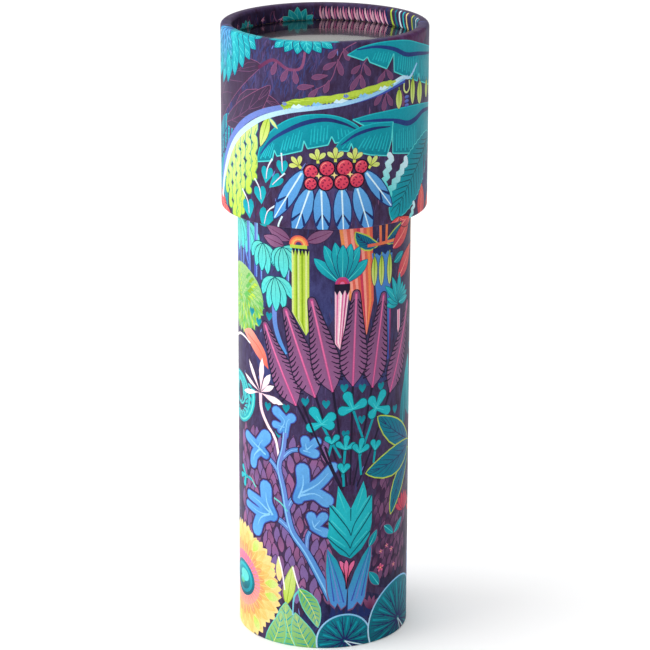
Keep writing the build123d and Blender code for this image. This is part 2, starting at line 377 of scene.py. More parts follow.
    def trunk(self, top, low, foot, tones):
        """A striped trunk: top and low are left and right corners, and it narrows from low to its foot."""
        count = len(tones)
        for k, tone in enumerate(tones):
            a, b = k / count, (k + 1) / count
            self.fill([between(top, a), between(top, b), between(low, b), foot, between(low, a)], tone)

    def arches(self, centre, radius, tones):
        """Nested half rings."""
        for k, tone in enumerate(tones):
            reach = radius * (1 - k / len(tones))
            self.fill([centre + reach * turned(180 * step / 12) for step in range(13)], tone)

    def shag(self, centre, across, up, rows=8):
        """A round bush of overlapping drooping blades."""
        steps = 28
        spokes = [turned(360 * k / steps) for k in range(steps)]
        self.fill([centre + complex(across * spoke.real, up * spoke.imag) for spoke in spokes], "leaf_green",
                  "sage", (centre - 1j * up, centre + 1j * up))
        for row in range(rows, 0, -1):
            share = row / rows
            count = max(5, int(2.7 * across * share))
            for k in range(count):
                way = turned(360 * (k + 0.5 * (row % 2)) / count)
                way = complex(way.real * across, way.imag * up)
                tone = ("lime", "leaf_green", "sage", "moss", "sage")[(3 * k + 2 * row) % 5]
                self.leaf(centre + way * (share - 0.22), centre + way * (share + 0.03) - 1.2j, 0.95, tone,
                          bend=0.2, edge="leaf_green", edge_width=0.12, steps=5)

    def coil(self, centre, radius, turns, start=0, leaflets=30):
        """A curled fern: a spiral stem with feathery leaflets inside it."""
        count = int(turns * 24)
        path = [centre + radius * (1 - 0.75 * step / count) * turned(start - 360 * turns * step / count)
                for step in range(count + 1)]
        for k in range(leaflets):
            node = path[int(0.8 * k / leaflets * count)]
            inward = (centre - node) / abs(node - centre)
            self.leaf(node, node + inward * turned(-38) * radius * 0.32, 1.0, "teal", to="aqua", steps=6)
        self.stroke(path, radius * 0.2, "turquoise", radius * 0.06, to="sea")
        self.stroke(path, radius * 0.07, "mint", 0.15)

    def scales(self, left, right, low, high, tones, size=5.8, lean=0.0):
        """A field of upright leaves in staggered rows."""
        pitch = size * 0.54
        for row in range(int((high - low) / pitch), -1, -1):
            across = left + (row % 2) * pitch / 2
            while across < right:
                way = turned(90 + lean + random.uniform(-14, 14))
                foot = complex(across + random.uniform(-0.3, 0.3),
                               low + pitch * (row + random.uniform(-0.2, 0.2)))
                length = size * random.uniform(0.86, 1.06)
                self.leaf(foot, foot + way * length, length * 0.42, random.choice(tones),
                          to=random.choice(tones), edge="plum", edge_width=0.3, blunt=0.75, steps=6)
                across += pitch

    def brushing(self, left, right, low, high, count, tones, length=4.0, turn=80, sway=25):
        """Soft dry-brush marks over the ground."""
        for _ in range(count):
            start = complex(random.uniform(left, right), random.uniform(low, high))
            way = turned(turn + random.uniform(-sway, sway)) * length * random.uniform(0.4, 1.0)
            self.fill(band(bow(start, start + way, random.uniform(-0.08, 0.08), 3), [0.1, 0.34, 0.3, 0.1]),
                      random.choice(tones), grain=0.7)

    def blade(self, upper, lower, rib, combs, rib_width=1.3):
        """A torn banana leaf: a soft upper edge, a cut lower edge, a dark midrib and combed light veins."""
        top = smooth(upper)
        outline = top + list(lower)[::-1]
        heights = [p.imag for p in outline]
        self.fill(outline, "teal", "sea", (1j * min(heights), 1j * max(heights)))
        self.stroke(top, 0.3, "turquoise")
        for start, end in zip(lower, lower[1:]):
            self.stroke([start, end], 0.34, "aqua")
        for foot, head, count in combs:
            self.hatch(foot, head, count, "turquoise", 0.42)
        path = smooth(rib)
        last = len(path) - 1
        widths = [rib_width * (0.25 + 0.75 * math.sin(math.pi * i / last)) for i in range(last + 1)]
        self.fill(band(path, widths), "marine", "navy", (path[0], path[-1]))


# Looks of the leaves that come back often.
LIME_EDGED = dict(tone="petrol", to="teal", edge="lime", edge_width=0.4, rib="navy", rib_width=0.45, veins=6,
                  vein="navy", lean=0.24, belly=0.5, blunt=0.75)
GREEN_LEAF = dict(tone="leaf_green", to="sage", edge="mint", edge_width=0.25, rib="pale_lime", rib_width=0.35,
                  veins=7, vein="sea", vein_width=0.36, lean=0.1)
RED_LEAF = dict(tone="berry", to="coral", edge="shadow", edge_width=0.25, rib="salmon", rib_width=0.45,
                veins=5, vein="berry", vein_width=0.3)
PALM_LEAF = dict(tone="turquoise", to="sea", edge="navy", edge_width=0.25, rib="aqua", rib_width=0.4, veins=5,
                 vein="aqua", vein_width=0.2, belly=0.6)
BROAD_LEAF = dict(tone="teal", to="sea", edge="turquoise", edge_width=0.25, rib="navy", rib_width=0.7,
                  veins=9, vein="turquoise", vein_width=0.3)
CROWN_LEAF = dict(tone="teal", to="turquoise", edge="navy", rib="aqua", belly=0.62, blunt=0.8)


def quill(art, base, tip, width):
    """A blue feather-shaped leaf with a pale rib and a dark chevron in its lower half."""
    art.leaf(base, tip, width, "azure", to="cornflower", edge="navy", edge_width=0.34, belly=0.46, blunt=0.7)
    ahead = (tip - base) / abs(tip - base)
    art.stroke([base + ahead * 0.8, base + ahead * 4], 0.9, "sky", 0.3)
    middle = base + (tip - base) * 0.52
    for side in (1, -1):
        art.stroke([middle, middle + ahead * 3.4 + 1j * ahead * side * width * 0.4], 0.3, "navy", 0.9)
    art.stroke([base + ahead * 0.8, tip - ahead * 0.4], 0.5, "ice", 0.3)


def plume(art, base, tip):
    """A plum feather-shaped leaf with a pink midrib, combed edges and a round tip."""
    width = 8.0
    spine = bow(base, tip, 0.0, 12)
    normals = lefts(spine)
    form = (0.02, 0.5, 0.86, 1.0, 1.02, 0.97, 0.88, 0.78, 0.67, 0.56, 0.46, 0.37, 0.27)
    art.fill(band(spine, [width * share + 0.65 for share in form], False, True), "shadow")
    art.fill(band(spine, [width * share for share in form], False, True), "mauve", "orchid", (tip, base))
    for k in range(15):
        place = 1.9 + 9.4 * k / 14
        low = int(place)
        point = between((spine[low], spine[low + 1]), place - low)
        half = width / 2 * (form[low] + (form[low + 1] - form[low]) * (place - low))
        ahead = normals[low] / 1j
        for side in (1, -1):
            way = normals[low] * side
            inner = 0.4 if (k + (side > 0)) % 2 else 0.52
            art.stroke([point + way * (half + 0.4) - ahead * 1.5,
                        point + way * half * (0.5 + inner / 2) - ahead * 0.9, point + way * half * inner],
                       0.55, "shadow", 0.25)
    ahead = (tip - base) / abs(tip - base)
    art.stroke([tip - 1.6 * ahead, tip + 0.5 * ahead], width * 0.15, "orchid", width * 0.1, to="magenta")
    art.stroke(spine, 0.7, "magenta", 0.5, to="pink")
    art.stroke(spine[:-1], 0.24, "pink", 0.16)


def mirrored(art, groups, shifts):
    """The far side carries the front's plants mirrored, with its own spacing."""
    for group, shift in zip(groups, shifts):
        art.place(shift, flip=True)
        group(art)
    art.place()


def small_hearts(art, centres):
    """Little heart-shaped leaves scattered on the ground."""
    for centre in centres:
        art.heart(centre + 0.9j, centre - 1.5j, 2.3, "teal", "sea")


def red_burst(art, hub, to):
    """A low tuft of short red leaves."""
    tips = [hub + 6.2 * turned(turn) for turn in (150, 128, 106, 82, 58, 30)]
    art.fan(hub, tips, 2.0, tone="berry", to=to, edge="wine", belly=0.6, steps=7)


def hanging_pod(art, top, length, width):
    """One lime pod on a short stalk."""
    art.stroke([top, top - 1j * length * 0.3], 0.35, "moss")
    art.leaf(top - 1j * length * 0.1, top - 1j * length, width, "lime", to="pale_lime", edge="shadow",
             belly=0.5, blunt=0.55, rib="moss", rib_width=0.5)


# ---- The print on the head ----

HEAD_LOW = 127.0
HEAD_HIGH = 192.0
HEAD_HALF_WAY = 94.2  # from a side plant to its twin on the other side of the head
RIM_DARK = 187.2  # the plain dark rim starts here at the front, and a little lower at the back
RIM_DARK_BACK = 182.8


def berry_crown(art):
    """Two rows of berries, with florets above and a skirt of blue quills below."""
    for base, tip, width in (
        (-6.0+147.4j, -14.9+132.6j, 4.6), (11.7+147j, 20.8+135.4j, 4.2), (-3.9+142.6j, -8.8+128.4j, 5.2),
        (9.2+142.8j, 13.6+128.6j, 5.2), (-0.9+142.6j, -0.3+127.8j, 4.8), (4.9+142.6j, 5.6+127.8j, 5.0),
    ):
        quill(art, base, tip, width)
    for foot, lean in (
        (-6.6+148j, 42), (-1.8+149.6j, 4), (3.1+150j, 0), (8.5+149.6j, -4), (12.9+147.6j, -38),
    ):
        art.floret(foot, 4.1, lean)
    for centre, radius in (
        (-3.8+147.2j, 1.95), (0.7+148.2j, 2.1), (5.8+148.3j, 2.3), (10.6+148.3j, 1.9),
        (-3.9+143.7j, 1.75), (0.4+143.9j, 2.05), (4.9+144.1j, 2.05), (9.3+144.5j, 2.05),
    ):
        art.berry(centre, radius)
    for centre in (-1.6+146j, 2.8+146.2j, 7.3+146.3j):
        art.sparkle(centre, 1.0)


def moss_branch(art):
    """The long pale branch, its blue underside and the moss along its top."""
    art.stroke(smooth((-14+164.6j, -6+165.2j, 2+166.2j, 10+167.5j, 17+169j, 23+170.6j, 25.6+171j)), 1.6,
               "ultramarine", 1.0)
    outer = (-41+136j, -38.6+143j, -34.6+150j, -30+155.4j, -24.6+160j, -18+163.4j, -11+165.4j, -4+166.4j)
    art.stroke(smooth(outer), 2.6, "periwinkle", 1.2)
    inner = (-41+134j, -38.4+140.6j, -34+148.2j, -29.4+153.8j, -23.6+158.4j, -17.4+161.9j, -10+164.3j,
             -2+165.6j, 6+166.8j, 14+168.6j, 22+171j, 27+172.2j)
    art.stroke(smooth(inner), 1.9, "ice", 0.9, to="sky")
    art.stroke(smooth((21+171.2j, 24.6+172.3j, 28+171.8j, 31.6+175.2j)), 1.2, "ice", 0.6, to="sky")
    path = smooth((-12.4+165.6j, -8+166.8j, -3+167.6j, 3+168.3j, 9+169.3j, 15+170.5j, 21.6+171.6j), 5)
    last = len(path) - 1
    widths = [2.0 * (1 + 0.12 * math.sin(1.7 * i)) * min(1, 0.3 + i / 4, 0.3 + (last - i) / 4)
              for i in range(last + 1)]
    art.fill(band(path, widths, True, True), "moss", to="lime", along=(path[0], path[last // 2]))
    for i in range(1, last):
        if i % 7 != 4:
            foot = path[i] - complex(0, 0.6)
            art.fill([foot - 0.75, foot + 0.75, foot + complex(0.3 * math.sin(3.1 * i), -0.9)], "moss",
                     to="lime", along=(foot + 0.5j, foot - 1j))
        start = path[i] + complex(-0.7, 0.35 + 0.3 * math.sin(2.3 * i))
        art.stroke([start, start + 1.1 + 0.2j, start + 2.0 + 0.2j], 0.2, "lime", 0.32)
    for start, reach, tone in (
        (-9.6+165.3j, 4.2, "ice"), (-3.6+166.2j, 3.2, "sky"), (2.4+167.0j, 4.6, "ice"),
        (5.2+168.6j, 1.8, "periwinkle"), (9.6+168.3j, 3.4, "sky"), (15.8+169.8j, 3.6, "ice"),
        (-12.2+166.0j, 1.6, "periwinkle"),
    ):
        ahead = turned(9) * reach
        art.fill([start, start + ahead * 0.2 + 0.9j, start + ahead * 0.36 + 0.3j, start + ahead * 0.55 + 0.8j,
                  start + ahead * 0.75 + 0.25j, start + ahead, start + ahead * 0.5 - 0.5j], tone)


def banana_leaves(art):
    """Torn leaves above and below the branch, and the wavy one at the lower right."""
    art.blade(
        (6.4+180.5j, 10+182.3j, 15+183.2j, 21+183.2j, 27+182.4j, 33+180.6j, 40+178.6j, 50+176j),
        (6.4+180.5j, 11+178.7j, 12.2+179.6j, 13+178j, 18.5+175.6j, 21+179.6j, 21.2+174.4j, 27+171.8j,
         32+169.9j, 33+172j, 33.6+169.5j, 43+166.6j, 50+166j),
        (9+181.8j, 15+182.2j, 21+180.9j, 26+178.6j, 32+177.8j, 40+176.4j, 48+175j),
        (((13.4+178.6j, 19.4+176.8j), (14.6+181j, 20.4+180.2j), 7),
         ((22+174.8j, 32.6+170.8j), (22.6+179.4j, 33+176.9j), 11),
         ((34+170.2j, 46+167.4j), (34.2+176.8j, 46+174.8j), 11)))
    art.blade(
        (8+162j, 14+163.1j, 22+163.5j, 30+163.2j, 37+162.4j, 50+160j),
        (8+162j, 12+159.6j, 20.8+158j, 21+150.9j, 32+149j, 33+152j, 34+148.8j, 42+149j, 50+150j),
        (10+161.3j, 16+161.1j, 22+160.1j, 27+158.6j, 31+159j, 36+160.3j, 43+159.6j, 49+158.6j),
        (((22+151.4j, 32+150j), (22+157.6j, 32+157.2j), 11),
         ((35+150j, 48+151j), (35+157.6j, 48+157j), 12)), 1.6)
    art.blade(
        (-20.7+148.4j, -19.6+152.6j, -17.4+156j, -14+159.4j, -10+161.9j, -5+163.4j, 0.4+163.6j,
         5+162.6j, 9+160.4j, 11.4+157.6j),
        (-20.7+148.4j, -15.4+149.4j, -14.7+152.6j, -13.9+150.9j, -6.4+153.1j, -5.8+156j, -4.8+153.8j,
         1+155j, 2+157.4j, 3+155.4j, 11.4+157.6j),
        (-19.4+150.8j, -15.8+155.2j, -10.4+158.8j, -5+161.3j, 0.4+162.2j, 5.4+161j, 9+159.2j),
        (((-19.8+149.4j, -15.8+150.2j), (-17.6+153j, -14.2+155.4j), 5),
         ((-13.2+151.9j, -7+153.9j), (-12+156.4j, -5.6+159.6j), 7),
         ((-4.4+154.8j, 1+156j), (-4+160.2j, 1.4+160.8j), 6),
         ((3.4+156.4j, 9+157.8j), (3.2+160j, 8+158.9j), 5)))
    art.blade((2.6+153.2j, 5+156.6j, 9.6+159.4j, 15+160.4j, 21+160j),
              (2.6+153.2j, 6.8+153j, 7.6+155.2j, 8.4+152.9j, 13.4+151.4j, 18.9+150.5j, 20.4+154.8j, 21+160j),
              (4.6+154.8j, 9+157.6j, 14.4+158.9j, 20+158.8j),
              (((9.2+153.6j, 18.6+151.6j), (11.6+157j, 20.2+157.4j), 9),
               ((4.4+153.8j, 6.8+153.8j), (5.6+155j, 8+156j), 2)), 1.0)
    art.leaf(43+152.6j, 20.9+131.4j, 12.6, "teal", bend=-0.06, to="sea", edge="aqua", edge_width=0.25,
             wave=0.07, rib="deep_teal", rib_width=0.6, veins=13, vein="deep_teal", vein_width=0.42,
             lean=0.12, belly=0.5, blunt=0.6)


def tassels(art):
    """The hanging tassels, pods and heart-shaped leaves."""
    for top, bottom in (
        (-36+146j, -35.8+137.4j), (-33.6+149j, -33.2+133.6j), (-21.6+160.4j, -21.9+144j),
        (-24.2+158.6j, -24+139.6j), (-26.6+156.6j, -27+133j), (-31.2+152.4j, -30.6+130.4j),
        (-28.9+154.6j, -28.4+129.6j),
    ):
        art.catkin(top, bottom, 2.3, waves=max(2, int(abs(top - bottom) / 4.6)))
    art.leaf(-16.6+161.9j, -19.4+153j, 3.0, "lime", to="pale_lime", edge="shadow", rib="moss",
             rib_width=0.35)
    art.leaf(-16.3+161.6j, -13.6+158.8j, 1.0, "pale_lime", edge="sea", steps=6)
    for crown, tip, width, stem in (
        (-12.3+149.4j, -12.1+145.6j, 3.4, -12.5+152j), (-17+146.9j, -17.6+142.6j, 3.8, -15.4+150j),
        (-13+144.8j, -16.4+141.4j, 3.2, -11.4+146.2j), (-19.8+140.8j, -19+136.2j, 4.2, -21.6+143.4j),
        (-24.4+136.2j, -23.6+131.2j, 4.4, -26.8+139.4j), (-17+134.4j, -18.6+129j, 4.8, -14.2+136.6j),
    ):
        art.heart(crown, tip, width, stem=stem)
    art.stroke(smooth((-12.2+133.6j, -13.2+131.6j, -13.8+129.4j)), 0.5, "ice")
    for across, top, bottom, width in (
        (23.2, 169.6, 163.4, 2.4), (29.4, 172, 163.8, 2.2), (33.6, 170.4, 163, 3.2),
        (39.5, 169.4, 163.6, 2.8), (44.6, 168.6, 163, 2.6),
    ):
        hanging_pod(art, complex(across, top), top - bottom, width)
    art.stroke(smooth((25.3+171.2j, 25.3+168.6j, 26.5+167.6j, 27.7+168.8j, 27.6+171j)), 0.5, "pale_lime")
    for k in range(3):
        art.disc(complex(26.5, 166.3 - 1.2 * k), 1.0, "ultramarine", to="periwinkle", squash=0.5, steps=10)


def head_ground(art, half):
    """The dark ground with its brushwork."""
    art.fill([-half + HEAD_LOW * 1j, half + HEAD_LOW * 1j, half + HEAD_HIGH * 1j, -half + HEAD_HIGH * 1j],
             "plum", to="night", along=(132j, 172j), grain=1.0)
    for shift in (0, half):
        art.place(shift)
        for centre, radius, squash in ((-38+153j, 10, 1.4), (37+142j, 8, 1.2)):
            art.disc(centre, radius, "indigo", to="night", squash=squash, steps=30, grain=1.0)
        art.brushing(-26, 3, 167, 184, 230, ("indigo", "dusk", "indigo"), length=5.0)
        art.disc(8+174j, 11, "night", to="plum", squash=0.7, steps=30, grain=1.0)
        art.disc(29+183.5j, 10, "wine", to="plum", squash=0.4, steps=24, grain=1.0)
        art.disc(1+134j, 14, "plum", to="dusk", squash=0.6, steps=30, grain=1.0)
    art.place()
    art.brushing(-half, half, 129, 186, 700, ("indigo", "dusk", "night", "dusk", "plum"))
    art.brushing(-half, half, 129, 186, 160, ("mauve", "periwinkle", "wine"), length=2.6)


def drop_leaves(art):
    """Pairs of mauve teardrop leaves on thin stems."""
    for knots in ((9+184j, 5.4+182j, 3.4+178j, 1.6+173.4j, -2.6+170.6j), (14+181j, 11+177.6j, 10+173.6j),
                  (20+179.6j, 18+175.4j, 17.8+173j), (20+170.6j, 18.2+168j, 17.6+165j)):
        art.stroke(smooth(knots), 0.3, "rose_dust", 0.2)
    for point, end in (
        (3.6+179.3j, 4.9+174.8j), (3.2+178.6j, -0.4+176.6j), (3.6+182.2j, 1.0+179.8j),
        (0.8+174.8j, -3.6+174.1j), (1.2+173.4j, 0.0+169.9j), (-3.0+171.8j, -7.7+171.1j),
        (-1.8+171.2j, -4.4+168.3j), (5.2+182.4j, 6.8+179j), (10.1+174.8j, 7.3+170.4j),
        (10.4+174.6j, 11.1+170.6j), (11.2+177.6j, 13+174.3j), (10.2+177.4j, 7.6+175.2j),
        (17.9+175j, 15.7+171.6j), (18.4+175.4j, 20.6+172.4j), (17.4+169.2j, 14.6+165.6j),
        (17.9+167.6j, 17.6+163.6j), (18.6+168.4j, 20.6+164.8j), (24+168.6j, 25+164j),
    ):
        art.drop(point, end, 1.4)


def undergrowth(art):
    """Dark leaves with thin mauve outlines on the ground above the branch, at the left."""
    for k in range(6):
        foot = complex(-46 + 2.5 * k, 141 + 2.1 * k)
        art.stroke([foot, foot + 1 + 12j], 1.2, "dusk", 0.8, to="indigo", grain=0.8)
    art.leaves(((-47+153j, -19+176.4j, 12, 0.14), (-30+161j, -12.4+164.8j, 5.6, 0.2),
                (-36+157j, -16+171j, 7, -0.08), (-40+157j, -46+172j, 6, 0.1)),
               tone="smoke", to="plum", edge="rose_dust", edge_width=0.16, rib="plum_leaf", veins=4,
               vein="plum_leaf", vein_width=0.2, lean=0.2, blunt=0.7)
    art.stroke(smooth((-20+175.6j, -15+178.4j, -10.6+176.2j, -6.6+176.8j, -5.4+182j)), 1.0, "wine", 0.7,
               to="rose_dust")
    for point, end in ((-14+178j, -15.4+174.2j), (-10.4+176.4j, -12.4+172.6j), (-8.6+176.2j, -8+172.2j)):
        art.drop(point, end, 1.5)


def head_side_plants(art):
    """Coral tips, squiggles and stripes at the lower edges."""
    for k in range(4):
        foot = complex(37.4 + 1.9 * k, 136)
        art.stroke([foot, foot + 0.6 + 11j], 0.9, "indigo", 0.6, to="dusk")
    art.leaves(((35.6+128.6j, 36+139j, 5.4), (32+127j, 23.6+131.6j, 3.6), (20+128j, 24+131.8j, 2.6),
                (-36+128j, -43+136j, 5.2), (-38+128j, -49+133j, 4.4), (-33+127.6j, -38+132.6j, 3.6),
                (42+127.6j, 44+135j, 4.2)), **RED_LEAF)
    art.squiggle(20.4+150.4j, 17.8+142j, 0.72, 7, 1.7)
    art.squiggle(26.8+148j, 19.6+139.4j, 0.72, 9, 1.7)
    art.squiggle(31+134.4j, 29+130j, 0.45, 5, 1.2)


def rim_palms(art):
    """Palms whose leaves hang over the rim."""
    hub = -31+190j
    tips = (-19.6+184j, -47.6+172j, -21+180.6j, -43.6+168.6j, -23.4+177.4j, -39+167.8j, -26.4+174.6j,
            -34.8+168.8j, -30.4+171.6j)
    art.fan(hub, tips, 5.2, **PALM_LEAF)
    art.fan(-36+186j, (-43+173j, -37.6+172j, -32+176j, -47+177j), 3.6, tone="cornflower", to="sea",
            edge="navy", rib="navy", rib_width=0.4, veins=4, vein="sky")
    art.fan(-6.5+189j, (-17+184.4j, 4.4+184.6j, -14.6+182j, 2.2+182.4j, -11.4+181j, -1+181.2j, -7.8+180.6j,
                          -4.4+180.8j), 3.6, **PALM_LEAF)


def far_head_plants(art):
    """Plants that fill the far side of the head, between the mirrored ones."""
    art.leaf(-92.6+129.6j, -82.6+148.8j, 8.6, bend=0.1, **BROAD_LEAF)
    art.leaves(((-84.6+128.6j, -77.2+137.4j, 4.6), (-88+128j, -82.4+135.6j, 3.6),
                (-93+129j, -96+137j, 4.0)), **RED_LEAF)
    art.squiggle(-77.4+149j, -79.6+139.6j, 0.72, 8, 1.7)
    art.heart(-90.8+149j, -91.6+145j, 3.4, stem=-89.6+151.6j)
    foot = -84+178j
    for turn in (35, 75, 115, 155):
        art.drop(foot, foot + 5 * turned(turn), 1.8)


HEAD_GROUPS = (undergrowth, drop_leaves, rim_palms, banana_leaves, head_side_plants, tassels, moss_branch,
               berry_crown)


def draw_head(girth):
    """The head's sheet: v is height on the outside, and runs on over the rim and down the inside."""
    art = Drawing()
    half = girth / 2
    head_ground(art, half)
    mirrored(art, HEAD_GROUPS, (92, 88, 96, 94, 90, 99, 94, 84))
    far_head_plants(art)
    for side, base, tip, width in ((1, 58+131j, 50+153j, 11), (-1, 44+146j, 62+160j, 10),
                                   (1, 57+184j, 48+166j, 9), (-1, 60+150j, 44+137j, 9)):
        for shift in (0, -HEAD_HALF_WAY):
            art.leaf(base + shift, tip + shift, width, bend=0.08 * side, belly=0.5, blunt=0.7, **BROAD_LEAF)
    for group in HEAD_GROUPS:
        group(art)
    corners = ((-half, RIM_DARK_BACK), (-52, RIM_DARK_BACK), (-48, RIM_DARK), (48, RIM_DARK),
               (52, RIM_DARK_BACK), (half, RIM_DARK_BACK), (half, HEAD_HIGH), (-half, HEAD_HIGH))
    art.fill([complex(*spot) for spot in corners], "plum", to="night", along=(187j, 191j), grain=1.0)
    draw_rim(art)
    return art


def draw_rim(art):
    """Motifs inside the rim; the far wall is what shows from the front."""
    for k in range(64):
        foot = complex(-96 + 0.9 * k, 193.6 - 1.1 * (k % 3))
        art.stroke(bow(foot, foot + (1.6 - 0.7 * (k % 4)) - 3.6j, 0.16, 4), 0.5,
                   ("mauve", "indigo", "plum_leaf", "dusk", "wine", "indigo", "orchid")[k % 7], 0.25)
    for k in range(26):
        foot = complex(70 + 1.0 * k, 191.8 - 0.5 * (k % 2))
        art.leaf(foot, foot + complex(1.9 - 0.05 * k, -4.2), 0.75,
                 ("heather", "blush", "rose_dust", "blush")[k % 4], bend=0.12,
                 to="pink" if k % 3 else "blush", steps=5)
    for k in range(11):
        foot = complex(46 + 2.1 * k, 193)
        art.stroke(bow(foot, foot + 5 - 7j, 0.22, 6), 0.95,
                   ("turquoise", "ice", "teal", "lime", "navy", "yellow")[k % 6], 0.6)
    for hub, reach in ((-85+194j, 6.6), (-63+194j, 5.0)):
        art.fan(hub, [hub + reach * turned(218 + 26 * k) for k in range(5)], 3.2, tone="teal", to="turquoise",
                edge="mint", rib="aqua")
    for k in range(5):
        foot = complex(-79 + 7.4 * k, 190.4 - 0.6 * (k % 2))
        for turn in (20, 80, 140, 200):
            art.stroke([foot, foot + 0.9 * turned(turn + 17 * k)], 0.35, "pink", 0.15, to="blush")
    hub = -2+194j
    art.fan(hub, [hub + 7 * turned(205 + 26 * k) for k in range(6)], 2.2, tone="wine", to="rose_dust",
            rib="pink")


# ---- The print on the barrel ----

BARREL_LOW = -8.0
BARREL_HIGH = 131.5


def barrel_ground(art, half):
    """The dark ground with its brushwork and the fields of small mauve leaves."""
    art.fill([-half + BARREL_LOW * 1j, half + BARREL_LOW * 1j, half + BARREL_HIGH * 1j,
              -half + BARREL_HIGH * 1j], "plum", to="night", along=(20j, 110j), grain=1.0)
    for shift in (0, half):
        art.place(shift)
        for centre, radius, squash in (
            (-1.5+113j, 6, 2.4), (-24+116j, 12, 1.1), (-14+90j, 9, 1.0), (14+86j, 16, 0.3),
        ):
            art.disc(centre, radius, "indigo", to="night", squash=squash, steps=28, grain=1.0)
        art.disc(8+7j, 15, "navy", to="shadow", squash=0.7, steps=28, grain=1.0)
        art.disc(23+27j, 11, "shadow", to="deep_plum", squash=1.0, steps=28, grain=1.0)
        art.disc(8+58j, 12, "deep_plum", to="plum", squash=0.8, steps=28, grain=1.0)
    art.place()
    art.brushing(-half, half, 0, 131, 800, ("indigo", "dusk", "night", "dusk", "plum"))
    art.brushing(-half, half, 0, 131, 220, ("mauve", "wine", "periwinkle"), length=2.6)
    for shift in (0, half):
        art.place(shift)
        art.scales(-30, 1.5, 14, 63, ("violet", "orchid", "violet", "mauve"))
        art.scales(16, 31, 20, 52, ("deep_plum", "plum_leaf", "mauve"), size=4.4, lean=-15)
    art.place()
    art.scales(-49, -37, 34, 66, ("violet", "orchid", "mauve"))
    art.scales(-77, -63, 10, 33, ("plum_leaf", "mauve", "orchid"), size=5.2, lean=10)


def stems(art):
    """Thin upright stems and the far leaves under the head."""
    for start, end, width in (
        (-26.4+130j, -26+113.6j, 1.9), (-22.3+130j, -22.6+112.4j, 1.7), (-31+124j, -26.6+115.4j, 1.1),
        (-20.2+118j, -20.2+112j, 0.9), (-10.6+118j, -10.8+110j, 0.9), (-33+130j, -32+112j, 1.6),
    ):
        art.stroke([start, end], width, "periwinkle", width * 0.85, to="ultramarine")
        art.stroke([start + width * 0.25, end + width * 0.25], width * 0.3, "sky", 0.15)
    art.stroke(smooth((-15.2+106j, -15+100j, -13.6+95.4j, -11.4+91j)), 1.7, "periwinkle", 1.2,
               to="cornflower")
    art.disc(-19+129.6j, 2.4, "turquoise", to="sea", squash=0.6)
    art.leaves(((-10+125.4j, -17.8+128.6j, 3.4), (-5+125.4j, 2.6+128.6j, 3.4), (-12+123.6j, -19+125.4j, 3.4)),
               tone="mauve", to="heather", edge="deep_plum", edge_width=0.25, rib="wine")


def striped_trunks(art):
    """Striped trunks, their flowers and the fan palm."""
    art.trunk((4.3+129j, 14.6+129j), (7.4+108j, 15.2+107j), 12.9+96.8j,
              ("orange", "salmon", "coral", "salmon", "coral", "berry", "salmon", "coral", "orange", "coral"))
    art.trunk((-9.5+122.6j, -4.3+122.6j), (-9.4+104.2j, -4.2+99j), -5.2+97.3j,
              ("pale_lime", "lime", "moss", "pale_lime", "lime", "moss", "lime", "pale_lime", "lime"))
    art.stroke([-10+123.7j, -4.9+123.7j], 1.0, "lime")
    for k in range(5):
        foot = complex(-9.4 + 1.02 * k, 123.2)
        art.fill([foot, foot + 1.0, foot + 0.6 - 2.2j], "shadow")
    art.arches(-7.4+124.2j, 2.9, ("coral", "orange", "gold", "coral", "dusk", "indigo"))

    art.leaves(((16.6+123.4j, 9.3+127.8j, 3.8, 0.16), (19.6+123.6j, 27.6+127.6j, 3.6, -0.12)), **LIME_EDGED)
    for start, end in ((13+123.4j, 25+123.4j), (17.6+123.4j, 17.4+130j), (19.8+123.4j, 20+130j)):
        art.stroke([start, end], 0.9, "coral", to="orange")
    art.fill([14.4+121j, 22.6+121j, 21.6+109j, 21.2+88j, 19.8+87.6j, 19.4+106j, 16.6+105j, 15.8+111j],
             "ultramarine", to="cornflower", along=(88j, 121j))
    art.fill([14.8+122.4j, 22.6+122.4j, 22.6+119.8j]
             + [complex(21.6 - 1.1 * k, 119.8 + (k % 2)) for k in range(7)], "navy")
    for across, low in ((15.4, 111.2), (18, 110.8), (21.3, 110.6)):
        hanging_pod(art, complex(across, 120.8), 120.8 - low, 2.0)
    art.stroke([21.7+107j, 21.6+89j], 0.7, "magenta", 0.4, to="wine")
    art.leaves(((22.7+121j, 33.6+127.6j, 5.4), (25.4+111.4j, 35.4+119.4j, 5.6), (27+127j, 38+130j, 5)),
               **RED_LEAF)
    art.leaf(23.4+116.6j, 28.6+118.8j, 2.8, "teal", to="sea", edge="shadow", rib="aqua")

    hub = 26+104j
    tips = [hub + 7.2 * (1.25 if 80 < turn < 140 else 0.85) * turned(turn)
            for turn in (178, 158, 136, 112, 88, 66, 44, 22, 4)]
    art.fan(hub, tips, 2.4, tone="sea", to="turquoise", edge="deep_teal", edge_width=0.18, rib="aqua",
            rib_width=0.25)
    art.trunk((25.3+101.8j, 26.9+101.8j), (25.4+96j, 26.8+96.4j), 25.9+94.6j, ("blush", "pink", "blush"))
    crown = 5.3+112.4j
    tips = (-2.9+120.5j, 13+119.4j, 0+124.4j, 10.4+123.6j, 3.1+125.2j, 7.8+124.6j, 5.4+124.4j)
    art.fan(crown, tips, 3.2, **CROWN_LEAF)
    art.trunk((3.1+110.8j, 7.4+110.8j), (3.2+95j, 5.6+96j), 4.8+93j,
              ("blush", "pink", "blush", "cream", "pink", "blush", "magenta", "blush"))
    art.fill([3.0+112.9j, 7.6+112.9j] + [complex(7.6 - 0.77 * k, 111 - 1.6 * (k % 2)) for k in range(7)],
             "shadow")
    art.arches(5.3+112.8j, 2.1, ("magenta", "berry", "pink"))


